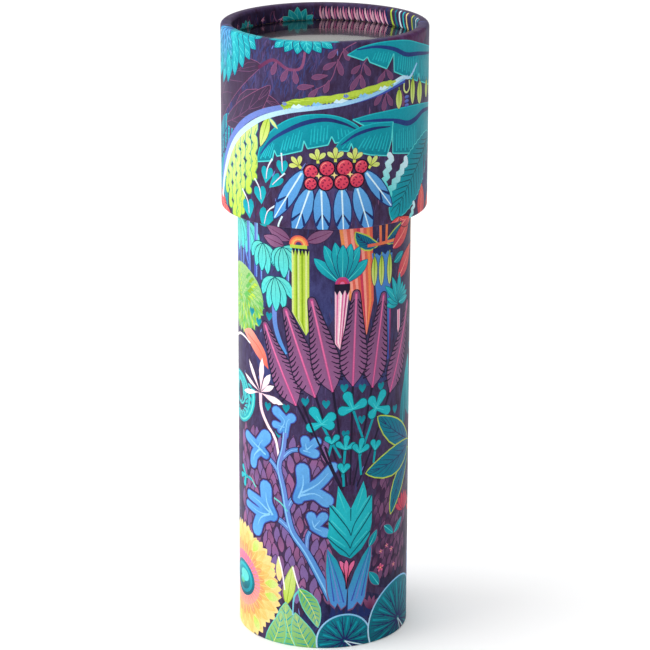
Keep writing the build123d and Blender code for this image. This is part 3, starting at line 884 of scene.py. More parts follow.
def umbrella_palms(art):
    """Small drooping palms and the round shaggy bush."""
    art.shag(-31.2+104.8j, 11.4, 9.8)
    art.umbrella(-33.5+127.5j, (-41+121j, -38+118.6j, -34+117.6j, -30+119j, -28+122j), 3.4)
    art.umbrella(-19.4+122.9j, (-24.2+118.4j, -22.3+115.8j, -19.9+114.8j, -17.6+114.2j, -15.2+117j), 2.9)
    art.umbrella(-12.4+122.9j, (-15.3+117.4j, -13.9+115.6j, -11.9+114j, -8.4+114.8j, -5+118.2j), 3.1)
    art.umbrella(-15+113.6j, (-19.5+108j, -17.1+104.2j, -14.6+103.6j, -12+104.8j, -9.5+108j), 3.0)


def plume_fan(art):
    """The fan of plum feathers, the dark stems under it and the small hearts around it."""
    art.fill(smooth((-29.8+94.4j, -25.4+96j, -21.6+93.6j, -18.6+90.2j, -17.4+85.4j), 3)
             + smooth((-19.9+86.9j, -23.2+89.3j, -26.6+92.2j), 3), "salmon", "coral", (-28+95j, -18+86j))
    art.stroke(smooth((-27+94j, -22+91.6j, -18.8+88j)), 0.3, "coral")
    art.stroke(smooth((-38+90.6j, -33+92.4j, -29+92.5j, -25.6+91.4j)), 0.8, "cream", 0.5)
    plumes = ((-8.2+75.8j, -18.6+98.6j), (22+77.4j, 32.6+102j), (-2.5+78.7j, -11.3+104.2j),
              (15+80.4j, 18.9+107.6j), (2.6+80.4j, -3.5+107.8j), (8.6+81.8j, 9.5+109.6j))
    for base, _ in plumes:
        art.stroke([base + 1j, 7.8+51j + (base - 7.8 - 80j) * 0.16], 0.75, "shadow", 0.5)
    for base, tip in plumes:
        plume(art, base, tip)
    small_hearts(art, (-21.3+99j, -17.1+101.6j, -5.4+77.2j, 0.7+76.7j, 6+81.4j, 11.6+80.8j, 18.2+80.2j,
                       -17.7+74j, -11.3+74.6j, -13.8+66.4j, 6.5+67.2j, 11.5+71.2j, 24.6+71.6j,
                       -24.6+101.4j))


def pale_frond(art):
    """The pale palm leaf on its curved stalk, over a coiled fern."""
    art.coil(-33.4+74.4j, 9.6, 1.5, start=20)
    art.stroke(smooth((-20.7+77.4j, -20.3+72.6j, -17.8+68.2j, -14.9+64.4j, -13.7+59j)), 1.3, "blush", 0.7,
               to="cream")
    for tip, width in (
        (-26.4+86.4j, 1.5), (-19.9+88.4j, 2.1), (-16.7+84j, 2.2), (-15.4+80.6j, 1.8), (-12.2+75.5j, 2.2),
        (-29.8+75.7j, 1.6), (-29+81.4j, 1.3),
    ):
        art.leaf(-20.7+77.6j, tip, width, "blush", to="cream", belly=0.64, blunt=1.1, steps=7)


def blue_tree(art):
    """A branching plant with broad round-lobed blue leaves."""
    path = smooth((2.4+15.6j, -1+22.8j, -5+30.4j, -9.2+36.2j, -10.9+42j, -12.2+49.3j, -13.7+56j, -12.3+61.6j,
                   -11.6+67j))
    art.stroke(path, 2.9, "navy", 1.9)
    for knots, start, end in (
        ((-8.6+35.6j, -13+39.2j, -17.6+40.6j), 1.6, 1.6), ((-10.9+43.4j, -9.4+46.4j, -6+48.8j), 1.4, 1.8),
        ((-4.9+31j, -4.6+35.6j, -2.6+39j), 1.1, 1.3), ((-12.6+52j, -15.6+56.6j, -20+59.6j), 1.2, 1.3),
        ((-12.9+58.6j, -9.6+61.8j, -5.4+62.4j), 1.2, 1.3),
    ):
        art.antler([(list(knots), start, end)], "periwinkle", "cornflower", "navy", 0.25)
    for branches in (
        (([-13.4+67.4j, -11.8+70.6j, -14.6+73.2j], 1.6, 2.9), ([-11.6+66j, -11+70.4j, -9.6+71.8j], 1.6, 2.8),
         ([-11.8+68.6j, -15+69j], 1.6, 2.2)),
        (([-18.6+58.8j, -21.6+60.6j, -18.6+64.4j], 2.6, 4.2), ([-20+59.6j, -23.6+61j, -27.4+62.4j], 3.2, 3.0),
         ([-21+60j, -23.6+57.4j, -24.2+54.8j], 3.4, 3.2)),
        (([-5+62.4j, -5.4+65.4j], 2.2, 2.6), ([-5+62.4j, -2+65.2j], 2.2, 2.6),
         ([-6+62.2j, -2.6+61.4j], 2.0, 2.8)),
        (([-7.4+47.2j, -6+51.6j, -6.2+56.2j], 3.4, 4.0), ([-6.4+49j, -1.4+52.2j, 2.8+57.2j], 3.6, 3.0),
         ([-7+48j, -2.6+49j, 1.0+46.8j], 3.2, 4.0)),
        (([-16+40.4j, -18.2+44j, -18.7+48.4j], 3.6, 4.6), ([-17+41j, -21.6+43.4j, -26.4+44.2j], 3.6, 2.8),
         ([-17+40.4j, -21+40j, -27.4+41j], 3.0, 2.2), ([-17+40.6j, -20.8+38.4j, -22.6+34.4j], 3.6, 4.2)),
        (([-2.8+38.6j, -3.6+41.8j], 2.0, 2.8), ([-2.8+38.4j, 0+41.8j], 2.2, 2.8),
         ([-2.6+38.2j, 0.6+36.8j], 2.0, 2.8)),
    ):
        art.antler(branches, "plum", "plum", "plum", 0.75, "plum")
        art.antler(branches)
    art.stroke(path, 2.3, "cornflower", 1.4, to="periwinkle")
    art.stroke([p - 0.45 for p in path], 0.5, "sky", 0.3)
    for knots in ((-23+47.4j, -26+49.6j, -30+48j), (-15.4+46j, -13+44.8j, -10.8+42.6j)):
        art.stroke(smooth(knots), 0.5, "mint", 0.35)
    art.sprig(-25+49j, -29+49.6j, (-31+51.4j, -32+48.6j, -29.6+46.6j), 1.6)


def turquoise_sprigs(art):
    """Lobed sprigs in the dark between the plumes and the cup plant."""
    for foot, crown, lobes in (
        (5+60j, -0.6+70.6j, (-2.9+74.4j, 2.2+72.8j, -3.7+69.4j, 1.8+70.2j)),
        (13+62j, 8.6+74.8j, (7+78.8j, 11.8+76.2j, 5.6+74.4j)),
        (11+60j, 16.4+73.8j, (18.9+77.6j, 14.9+76.4j, 20.8+72.2j, 15+72.2j)),
        (5.6+54j, 6.4+62.6j, (4.4+64.2j, 6.8+66j, 8.8+63.6j)),
        (11.4+54j, 10.8+61j, (9.4+63j, 11.6+64.6j, 13.2+62.4j)),
        (1.4+60.6j, 2.4+64.6j, (1.2+66j, 3.8+66.4j)), (15.6+57j, 16.2+61j, (15.4+63.4j, 17.4+62.8j)),
        (6+51j, 5.8+55.4j, (5+57.4j, 7+57.2j)),
    ):
        small = foot.imag < 61 and abs(crown - foot) < 10
        art.sprig(foot, crown, lobes, 1.7 if small else 2.7)
    art.stroke(smooth((0.4+63.6j, 2.6+57j, 5.8+50j)), 0.7, "shadow", 0.5)
    art.stroke(smooth((-6+76j, -2+66j, 3.4+54j)), 0.7, "shadow", 0.5)


def cup_plant(art):
    """A cup of overlapping turquoise leaves over a blue vase of leaves with pink buds."""
    for k in range(6):
        foot = complex(1.6 + 2.2 * k, 9)
        art.fill([foot, foot + 2.6, foot + 1.3 + 5.6j], "navy")
    left = (1.1+31.8j, 0.8+24.9j, 1.3+17.7j, 2.2+14.4j, 3.6+12.9j, 4.3+14.4j, 5.4+12.4j, 6.9+13.6j, 7.2+18.6j,
            5.6+24j, 4+28j)
    right = (15.2+32.4j, 14.8+26.6j, 13.8+21.6j, 12.9+15.4j, 11.6+12.9j, 10.4+14.2j, 9+12.4j, 7.4+12j,
             7.5+18.6j, 9.6+24j, 12+28.4j)
    for outline in (left, right):
        art.fill([p + (p - 7.4 - 22j) * 0.05 for p in outline], "mauve")
        art.fill(outline, "cornflower", to="sea", along=(15j, 31j))
        tip, low = outline[0], outline[3]
        for share, tone in ((0.2, "ultramarine"), (0.5, "periwinkle"), (0.78, "ultramarine")):
            foot = between((low, 7.3+13.4j), share)
            art.stroke(smooth((foot + 0.8j,
                               between((foot, tip), 0.5) + (7.3 - tip.real) * 0.1 * (share - 0.2), tip)),
                       0.45, tone, 0.12)
    for tip, bend in ((4.9+27.8j, -0.08), (9.4+27.4j, 0.08), (6.9+27.8j, 0.0)):
        art.leaf(6.9+18.6j, tip, 1.35, "cherry", bend=bend, to="pink", edge="ink", edge_width=0.26, belly=0.8,
                 blunt=0.75)
    art.fill([4.3+51.4j, 8.2+43.8j, 12.2+52j, 13.2+48.6j, 13.4+46.2j, 15.2+47.4j, 15.2+43.2j, 15.1+38.4j,
              14.3+34.6j, 11.8+30.9j, 8.3+28.2j, 5+29.8j, 2.8+32.2j, 1.1+35.4j, 1.6+38j, 1.5+40.6j, 1.9+42.6j,
              1.8+45.4j, 3.7+44.6j], "sea", to="turquoise", along=(27j, 40j))
    for knots in (
        (1.8+45.4j, 4.6+41.6j, 7.3+37.8j, 8.3+35.4j), (15.2+47.3j, 12+42.8j, 9.4+39j, 8.3+35.4j),
        (1.5+40.6j, 4.4+36.8j, 7+33.6j, 8.1+31.4j), (15.2+42j, 11.7+37.4j, 9.1+33.9j, 8.1+31.4j),
        (1.1+35.4j, 4+32.6j, 6.6+30.4j, 7.8+28.8j), (14.6+36j, 11.2+32.5j, 8.9+30.1j, 7.8+28.8j),
    ):
        inner = between(knots[:2], 0.3)
        art.stroke(smooth([inner + 1.1j, knots[1] + 1.5j, knots[2] + 1.7j], 3), 0.2, "aqua", 0.45,
                   to="turquoise")
        art.stroke(smooth(knots, 3), 0.42, "deep_teal", 0.3)
    for start, end in ((4.4+49.4j, 6.8+42.4j), (12.1+49.8j, 9.8+42.6j)):
        art.stroke([start, end], 0.2, "aqua", 0.45, to="turquoise")
    art.stroke([8.2+43.8j, 8.2+40j], 0.4, "deep_teal", 0.2)


def lime_edged_leaves(art):
    """Lime-edged leaves and small flowers at the right of the front."""
    art.leaf(37+66j, 34.6+86j, 7, "teal", to="turquoise", rib="aqua", rib_width=0.4, bend=0.12)
    art.leaf(29+62j, 31+80j, 4.6, "deep_teal", to="sea", rib="turquoise", rib_width=0.4)
    art.leaves(((36+56j, 23+39.2j, 5.8, -0.1), (35+59j, 17.2+71j, 7.2, 0.05),
                (36+58.4j, 13.1+54.3j, 8.4, 0.03)), **LIME_EDGED)
    art.leaves(((14.3+31j, 17.1+35.8j, 2.4), (20+36.2j, 24.4+32.6j, 2.6), (24.8+32.6j, 29.6+36.2j, 2.4),
                (18+18j, 14.3+23j, 3.0)), tone="teal", to="sea", edge="mauve", rib="aqua")
    red_burst(art, 30.8+38j, "berry")
    for centre, size in (
        (18.7+28.4j, 0.8), (23.4+27.9j, 0.9), (18.6+23.3j, 1.4), (24.6+22.6j, 0.8), (21.2+29.6j, 0.8),
    ):
        for k in range(5):
            art.leaf(centre, centre + size * turned(90 + 72 * k), size * 0.6,
                     "rose_dust" if size < 1 else "berry", to="pink", belly=0.62, steps=5)
        art.disc(centre, 0.25, "gold", steps=6)
    hub = 14.6+11j
    art.fan(hub, [hub + 4.4 * turned(40 + 26 * k) for k in range(4)], 1.5, tone="wine", to="rose_dust",
            steps=6)


def meadow(art):
    """The daisy and the green leaves beside it."""
    art.daisy(-31+16.2j, 18.2, start=4)
    art.leaf(-13.6+20j, -13.9+28j, 2.2, "yellow", to="pale_lime", belly=0.4, steps=7)
    art.leaf(-11.2+13.2j, -9.2+25.6j, 3.6, "lime", to="pale_lime", edge="moss", belly=0.45,
             rib="moss", rib_width=0.25)
    for knots in ((-13.9+27.8j, -12.6+23j, -11.8+17.6j), (-9.2+25.4j, -8.2+21.6j, -7.1+18.2j)):
        art.stroke(smooth(knots), 0.5, "cream", 0.4)
    art.leaves(((-6.4-3j, -11.4+13.6j, 9.0, 0.1), (-19-5j, -13+10.4j, 6.4, -0.08),
                (-1.6-3.6j, -8.4+10.8j, 7.0, 0.06), (-7.3+18.6j, -1.6+6.8j, 4.8, 0.08)), **GREEN_LEAF)
    art.stroke(smooth((-7.3+18j, -8.8+15.6j, -9.2+10j)), 0.6, "mint", 0.4, to="sky")


def lily_pads(art):
    """Two lily pads along the base."""
    art.pad(6.5+2.1j, 8.2, 328, veins=13)
    art.pad(27.6+4.2j, 13.2, 302, veins=19)


def far_barrel_plants(art):
    """Plants that fill the far side and the right side of the barrel, between the mirrored ones."""
    art.trunk((-77+131j, -68.4+131j), (-75.6+110j, -68.8+109j), -71.4+98j,
              ("orange", "salmon", "coral", "salmon", "orange", "coral", "salmon"))
    art.trunk((36.6+131j, 43.6+131j), (37.6+103j, 42.6+103j), 40.2+90j,
              ("gold", "orange", "yellow", "gold", "orange", "yellow", "orange"))
    for across, low, width in ((-66.2, 114, 1.6), (-59.4, 108, 1.4), (-57, 114, 1.0), (-80, 124, 1.2)):
        art.stroke([complex(across, 131), complex(across, low)], width, "periwinkle", width * 0.8,
                   to="ultramarine")
    crown = -63.4+110.4j
    tips = [crown + reach * turned(turn)
            for turn, reach in ((172, 8), (8, 8), (148, 10), (32, 10), (122, 10.6), (58, 10.6), (90, 11))]
    art.fan(crown, tips, 3.0, **CROWN_LEAF)
    art.trunk((-65.4+109j, -61.4+109j), (-65+96j, -62+96j), -63.4+90j,
              ("blush", "pink", "cream", "pink", "blush", "pink"))
    art.fill([-65.6+110.8j, -61.2+110.8j]
             + [complex(-61.2 - 0.73 * k, 108.8 - 1.6 * (k % 2)) for k in range(7)], "shadow")
    art.arches(crown + 0.3j, 2.0, ("magenta", "berry", "pink"))
    for foot, crown, lobes in (
        (-44.4+38j, -43.6+50j, (-46.2+53.6j, -41.6+54.2j, -47+49.4j, -40.8+49.6j)),
        (-47.6+58j, -46.6+63j, (-48.4+65.4j, -45+66j)), (-41.6+57j, -41.4+61.6j, (-43+64j, -39.8+64j)),
    ):
        art.sprig(foot, crown, lobes, 2.6 if len(lobes) > 2 else 1.9)
    small_hearts(art, (-53.4+84j, -57.4+79.6j, -49.6+72j, 36.4+88j, 43.8+87.4j, 40+84.4j))
    art.fan(40.4+9j, (36+23j, 46+23j, 38+28.6j, 43.4+28.6j, 40.6+31j), 4.0, tone="ultramarine",
            to="cornflower", edge="mauve", edge_width=0.25, rib="periwinkle", rib_width=0.4)
    for hub in (-67+13.4j, 40+35j):
        red_burst(art, hub, "coral")
    art.pad(-67.4+2.6j, 9.6, 316, veins=15)


BARREL_GROUPS = (stems, umbrella_palms, striped_trunks, plume_fan, pale_frond, blue_tree, turquoise_sprigs,
                 cup_plant, lime_edged_leaves, meadow, lily_pads)


def draw_barrel(girth):
    """The barrel's sheet: v is height above the base edge; below zero it turns in."""
    art = Drawing()
    barrel_ground(art, girth / 2)
    far_barrel_plants(art)
    mirrored(art, BARREL_GROUPS, (97.3, 97.3, 72, 79, 92.5, 84, 78, 79, 74, 97.3, 79))
    for group in BARREL_GROUPS:
        group(art)
    return art


# ---- From a flat drawing to rolled paper ----

COLUMNS = 144  # straight lines up each sheet, which keep it round
CORNER_STEPS = 5  # flats in each rounded edge of a profile
WELD = 2e-6  # corners closer than this, in metres, become one
SNAP = 1e-4  # slack, in millimetres, for a corner that lies on a cut end


def run_of(profile, anchor):
    """Distance along a profile at each of its points; at the anchor point it equals the height."""
    run = [0.0]
    for (r0, z0), (r1, z1) in zip(profile, profile[1:]):
        run.append(run[-1] + math.hypot(r1 - r0, z1 - z0))
    shift = profile[anchor][1] - run[anchor]
    return [value + shift for value in run]


def covered(centres, outline):
    """Which of the points lie inside an outline, as a mask; overlapping loops count as inside."""
    a = np.asarray(outline)[:, None]
    b = np.roll(a, -1, axis=0)
    rises = (a.imag <= centres.imag) & (b.imag > centres.imag)
    falls = (a.imag > centres.imag) & (b.imag <= centres.imag)
    side = ((b - a).conjugate() * (centres - a)).imag
    turns = (rises & (side > 0)).sum(axis=0) - (falls & (side < 0)).sum(axis=0)
    return turns != 0


def cut(points, edges):
    """Constrained triangles of a flat set of points and edges."""
    result = delaunay_2d_cdt([Vector((p.real, p.imag)) for p in points], edges, [], 0, 1e-5, True)
    return np.array([complex(p.x, p.y) for p in result[0]]), np.array(result[2])


def top_shapes(flat, tris, copies):
    """The last drawn outline over the middle of each triangle, or -1."""
    centres = flat[tris].mean(axis=1)
    owner = np.full(len(tris), -1)
    order = np.argsort(centres.real)
    across = centres.real[order]
    for number, (_, _, outline) in enumerate(copies):
        first, last = np.searchsorted(across, (outline.real.min(), outline.real.max()))
        near = order[first:last]
        height = centres.imag[near]
        near = near[(height > outline.imag.min()) & (height < outline.imag.max())]
        owner[near[covered(centres[near], outline)]] = number
    return owner, centres


def triangulate(art, girth, run):
    """Cuts the sheet into triangles along every visible outline, and finds the shape on top of each."""
    bottom, top = run[0], run[-1]
    half = girth / 2
    copies = []
    for index, shape in enumerate(art.shapes):
        outline = np.array(shape[0])
        for shift in (-girth, 0, girth):
            if outline.real.max() + shift > -half and outline.real.min() + shift < half:
                copies.append((index, shift, outline + shift))
    points = []
    edges = []
    for _, _, outline in copies:
        first, count = len(points), len(outline)
        edges += [(first + k, first + (k + 1) % count) for k in range(count)]
        points += outline.tolist()
    flat, tris = cut(points, edges)
    owner, _ = top_shapes(flat, tris, copies)

    # only edges between two different shapes are kept for the second cut
    sides = np.sort(np.concatenate([tris[:, [0, 1]], tris[:, [1, 2]], tris[:, [2, 0]]]), axis=1)
    owners = np.tile(owner, 3)
    keys = sides[:, 0] * len(flat) + sides[:, 1]
    order = np.argsort(keys, kind="stable")
    keys, owners, sides = keys[order], owners[order], sides[order]
    shared = np.flatnonzero((keys[1:] == keys[:-1]) & (owners[1:] != owners[:-1]))
    seen = sides[shared]
    used, compact = np.unique(seen, return_inverse=True)
    points = flat[used].tolist()
    edges = compact.reshape(seen.shape).tolist()
    lines = [(complex(-half + girth * k / COLUMNS, bottom), complex(-half + girth * k / COLUMNS, top))
             for k in range(COLUMNS + 1)]
    lines += [(complex(-half, level), complex(half, level)) for level in run]
    for ends in lines:
        edges.append((len(points), len(points) + 1))
        points += ends
    flat, tris = cut(points, edges)
    owner, centres = top_shapes(flat, tris, copies)
    inside = (owner >= 0) & (abs(centres.real) < half) & (centres.imag > bottom) & (centres.imag < top)
    return flat, tris[inside], [copies[k][:2] for k in owner[inside]]


def rolled(s, v, girth, run, profile):
    """A point of the sheet in space, in metres: s runs round it and v along its profile."""
    spot = min(max(bisect.bisect_right(run, v) - 1, 0), len(run) - 2)
    share = (v - run[spot]) / (run[spot + 1] - run[spot])
    share = min(max(share, 0.0), 1.0)
    (r0, z0), (r1, z1) = profile[spot], profile[spot + 1]
    radius = r0 + (r1 - r0) * share
    angle = 2 * math.pi * s / girth
    return Vector((radius * math.sin(angle), -radius * math.cos(angle), z0 + (z1 - z0) * share)) * MM


def roll_paper(name, art, girth, profile, backing, anchor):
    """A printed sheet of real thickness: the print outside, plain paper behind, and both cut ends closed."""
    run = run_of(profile, anchor)
    flat, tris, owners = triangulate(art, girth, run)
    coords = []
    index_at = {}
    vertex_of = {}

    def vertex(position):
        key = tuple(round(c / WELD) for c in position)
        if key not in index_at:
            index_at[key] = len(coords)
            coords.append(position)
        return index_at[key]

    faces = []
    paints = []
    for tri, (shape, shift) in zip(tris.tolist(), owners):
        corner_ids = []
        for i in tri:
            if i not in vertex_of:
                vertex_of[i] = vertex(rolled(flat[i].real, flat[i].imag, girth, run, profile))
            corner_ids.append(vertex_of[i])
        if len(set(corner_ids)) < 3:
            continue
        _, tone, to, (start, end), grain = art.shapes[shape]
        first, second = linear(tone), linear(to)
        ahead = end - start
        for i in tri:
            offset = flat[i] - shift - start
            share = (offset * ahead.conjugate()).real / abs(ahead) ** 2
            share = min(max(share, 0.0), 1.0)
            paints += [a + (b - a) * share for a, b in zip(first, second)] + [grain]
        faces.append(corner_ids)

    # plain back of the paper
    paper_paint = list(linear("paper")) + [0.2]
    rings = []
    for radius, height in backing:
        ring = []
        for k in range(COLUMNS):
            angle = 2 * math.pi * k / COLUMNS + math.pi
            ring.append(vertex(Vector((radius * math.sin(angle), -radius * math.cos(angle), height)) * MM))
        rings.append(ring)
    for lower, upper in zip(rings, rings[1:]):
        for k in range(COLUMNS):
            n = (k + 1) % COLUMNS
            faces += [[lower[k], upper[k], upper[n]], [lower[k], upper[n], lower[n]]]
            paints += paper_paint * 6

    # cut ends, where the print meets the back
    for level, ring, flip in ((run[0], rings[0], False), (run[-1], rings[-1], True)):
        edge = {}
        for i in vertex_of:
            if abs(flat[i].imag - level) < SNAP:
                edge[round(flat[i].real, 4)] = vertex_of[i]
        stops = sorted(edge)
        for a, b in zip(stops, stops[1:]):
            middle = (a + b) / 2 / girth + 0.5
            k = int(middle * COLUMNS) % COLUMNS
            fresh = [[edge[a], ring[k], edge[b]]]
            column = b / girth * COLUMNS + COLUMNS / 2
            if abs(column - round(column)) < 1e-3:
                fresh.append([edge[b], ring[k], ring[(k + 1) % COLUMNS]])
            faces += [tri[::-1] if flip else tri for tri in fresh]
            paints += paper_paint * 3 * len(fresh)

    mesh = bpy.data.meshes.new(name)
    mesh.from_pydata(coords, [], faces)
    layer = mesh.color_attributes.new("print", "FLOAT_COLOR", "CORNER")
    layer.data.foreach_set("color", paints)
    mesh.shade_smooth()
    mesh.update()
    piece = bpy.data.objects.new(name, mesh)
    bpy.context.scene.collection.objects.link(piece)
    print(name, "triangles", len(faces))
    return piece


def corner(centre_r, centre_z, radius, start, end):
    """Points round a quarter turn of a profile."""
    points = []
    for k in range(CORNER_STEPS + 1):
        angle = math.radians(start + (end - start) * k / CORNER_STEPS)
        points.append((centre_r + radius * math.cos(angle), centre_z + radius * math.sin(angle)))
    return points


# ---- Sizes, read from the frame (millimetres) ----

def high(node, axis):
    """Upper limit of a CAD node along an axis."""
    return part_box(node)[1][axis] / MM


def low(node, axis):
    """Lower limit of a CAD node along an axis."""
    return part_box(node)[0][axis] / MM


PAPER = low("head_shell", 2) - low("head_wrap", 2)
HEAD_R = high("head_wrap", 0)
HEAD_BOTTOM = low("head_wrap", 2)
RIM = high("head_wrap", 2)
SHELL_IN = high("cover_window", 0)
WINDOW = high("cover_window", 2)
BARREL_R = high("barrel_wrap", 0)
BARREL_TOP = high("barrel_wrap", 2)
TUBE_IN = high("eyepiece_disc", 0) + PAPER
TURN_IN = high("eyepiece_window", 2)
RIM_ROUND = 1.0  # roundings of the paper's edges, which the frame does not give
FOOT_ROUND = 0.7
BASE_ROUND = 0.4


def head_profile(inset, rounding, foot):
    """Section of the head's paper, from under the lower edge, up, over the rim and down to the window."""
    r = HEAD_R - inset
    inner = SHELL_IN - PAPER + inset
    points = [(SHELL_IN, HEAD_BOTTOM + inset)]
    points += corner(r - foot, HEAD_BOTTOM + inset + foot, foot, -90, 0)
    points += corner(r - rounding, RIM - inset - rounding, rounding, 0, 90)
    points += corner(inner + rounding, RIM - inset - rounding, rounding, 90, 180)
    points.append((inner, WINDOW))
    return points


def barrel_profile(inset, rounding):
    """Section of the barrel's paper, from inside the base, under the edge and up."""
    r = BARREL_R - inset
    inner = TUBE_IN - PAPER + inset
    points = [(inner, TURN_IN), (inner, inset)]
    points += corner(r - rounding, inset + rounding, rounding, -90, 0)
    points.append((r, BARREL_TOP))
    return points


# ---- Materials ----

class Shader:
    """A small helper around one material's nodes."""

    def __init__(self, name, **sockets):
        self.material = bpy.data.materials.new(name)
        self.material.use_nodes = True
        self.tree = self.material.node_tree
        self.surface = self.tree.nodes["Principled BSDF"]
        for key, value in sockets.items():
            self.surface.inputs[key.replace("_", " ")].default_value = value

    def node(self, kind, **values):
        made = self.tree.nodes.new(kind)
        for key, value in values.items():
            setattr(made, key, value)
        return made

    def link(self, source, target):
        self.tree.links.new(source, target)

    def noise(self, scale, detail=3.0, rough=0.55, stretch=(1, 1, 1)):
        """Noise in object space; scale is in features per metre."""
        where = self.node("ShaderNodeTexCoord")
        grid = self.node("ShaderNodeMapping")
        grid.inputs["Scale"].default_value = stretch
        texture = self.node("ShaderNodeTexNoise")
        texture.inputs["Scale"].default_value = scale
        texture.inputs["Detail"].default_value = detail
        texture.inputs["Roughness"].default_value = rough
        self.link(where.outputs["Object"], grid.inputs["Vector"])
        self.link(grid.outputs["Vector"], texture.inputs["Vector"])
        return texture.outputs["Fac"]

    def ramp(self, source, stops):
        """Colour or grey values from a few stops."""
        made = self.node("ShaderNodeValToRGB")
        elements = made.color_ramp.elements
        while len(elements) < len(stops):
            elements.new(0.5)
        for element, (place, colour) in zip(elements, stops):
            element.position = place
            element.color = (*colour, 1) if isinstance(colour, tuple) else (colour, colour, colour, 1)
        self.link(source, made.inputs["Fac"])
        return made.outputs["Color"]

    def mix(self, factor, a, b, blend="MIX"):
        """Colour mix; each input is a socket or a colour."""
        made = self.node("ShaderNodeMix", data_type="RGBA", blend_type=blend)
        for key, value in ((0, factor), (6, a), (7, b)):
            if isinstance(value, bpy.types.NodeSocket):
                self.link(value, made.inputs[key])
            elif isinstance(value, tuple):
                made.inputs[key].default_value = (*value, 1)
            else:
                made.inputs[key].default_value = value
        return made.outputs[2]

    def bump(self, source, strength, distance):
        made = self.node("ShaderNodeBump")
        made.inputs["Strength"].default_value = strength
        made.inputs["Distance"].default_value = distance
        self.link(source, made.inputs["Height"])
        self.link(made.outputs["Normal"], self.surface.inputs["Normal"])


def printed_paper(name):
    """Satin laminated print: the drawn colours, dry-brush mottling, faint grain and a soft sheen."""
    sh = Shader(name, Specular_IOR_Level=0.06)
    drawn = sh.node("ShaderNodeVertexColor", layer_name="print")
    bristle = sh.ramp(sh.noise(620, 5, 0.7, (1, 1, 0.35)), ((0.36, 0.0), (0.64, 1.0)))
    light = sh.mix(0.3, drawn.outputs["Color"], (0.12, 0.14, 0.42), "SCREEN")
    dark = sh.mix(0.55, drawn.outputs["Color"], (0.45, 0.3, 0.4), "MULTIPLY")
    mottled = sh.mix(bristle, dark, light)
    amount = sh.node("ShaderNodeMath", operation="MULTIPLY")
    sh.link(drawn.outputs["Alpha"], amount.inputs[0])
    amount.inputs[1].default_value = 0.5
    brushed = sh.mix(amount.outputs["Value"], drawn.outputs["Color"], mottled)
    ink = sh.ramp(sh.noise(2300, 2, 0.5), ((0.3, 0.88), (0.7, 1.04)))
    sh.link(sh.mix(1.0, brushed, ink, "MULTIPLY"), sh.surface.inputs["Base Color"])
    sh.link(sh.ramp(sh.noise(260, 3), ((0.3, 0.36), (0.7, 0.48))), sh.surface.inputs["Roughness"])
    sh.bump(sh.noise(1500, 4, 0.6), 0.25, 0.00006)
    return sh.material


def card(name, tone, fleck, roughness=0.85):
    """Card with pressed fibres and flecks."""
    sh = Shader(name, Roughness=roughness)
    fibres = sh.ramp(sh.noise(700, 6, 0.7, (1, 1, 0.25)), ((0.32, tone), (0.7, fleck)))
    specks = sh.ramp(sh.noise(2600, 2), ((0.28, 0.72), (0.4, 1.0)))
    sh.link(sh.mix(1.0, fibres, specks, "MULTIPLY"), sh.surface.inputs["Base Color"])
    sh.bump(sh.noise(1200, 5, 0.7, (1, 1, 0.3)), 0.4, 0.0001)
    return sh.material


def foam(name):
    """Fine open-cell foam."""
    sh = Shader(name, Roughness=0.95)
    cells = sh.noise(1800, 2, 0.5)
    sh.link(sh.ramp(cells, ((0.3, (0.55, 0.55, 0.52)), (0.6, (0.86, 0.86, 0.83)))),
            sh.surface.inputs["Base Color"])
    sh.bump(cells, 0.8, 0.0003)
    return sh.material


def mirror(name):
    """Silvered strip with faint waviness and a few specks."""
    sh = Shader(name, Metallic=1.0, Roughness=0.03)
    sh.link(sh.ramp(sh.noise(300, 2), ((0.2, 0.82), (0.6, 0.92))), sh.surface.inputs["Base Color"])
    sh.bump(sh.noise(60, 1), 0.05, 0.0001)
    return sh.material


def clear_plastic(name):
    """Polished clear sheet with hair-fine scuffs."""
    sh = Shader(name, Base_Color=(0.93, 0.95, 0.92, 1), Transmission_Weight=1.0, IOR=1.5)
    sh.link(sh.ramp(sh.noise(420, 5, 0.7), ((0.45, 0.012), (0.75, 0.06))), sh.surface.inputs["Roughness"])
    return sh.material


def frosted_plastic(name):
    """Milky diffusing sheet."""
    sh = Shader(name, Roughness=0.55, Transmission_Weight=0.85, IOR=1.49)
    tone = sh.ramp(sh.noise(90, 3), ((0.3, (0.50, 0.45, 0.44)), (0.7, (0.62, 0.57, 0.56))))
    sh.link(tone, sh.surface.inputs["Base Color"])
    sh.bump(sh.noise(3200, 3), 0.35, 0.00008)
    return sh.material


def gloss_plastic(name, tone, shade, clear=0.0):
    """Glossy moulded bead or ring; clear lets some light through."""
    sh = Shader(name, Roughness=0.12, Transmission_Weight=clear, IOR=1.5)
    sh.link(sh.ramp(sh.noise(380, 3), ((0.3, shade), (0.7, tone))), sh.surface.inputs["Base Color"])
    sh.bump(sh.noise(900, 2), 0.06, 0.00008)
    return sh.material


def sequin(name):
    """Bright metallised film."""
    sh = Shader(name, Metallic=1.0, Roughness=0.18)
    sh.link(sh.ramp(sh.noise(250, 2), ((0.3, (0.75, 0.76, 0.82)), (0.7, (0.95, 0.95, 0.97)))),
            sh.surface.inputs["Base Color"])
    return sh.material


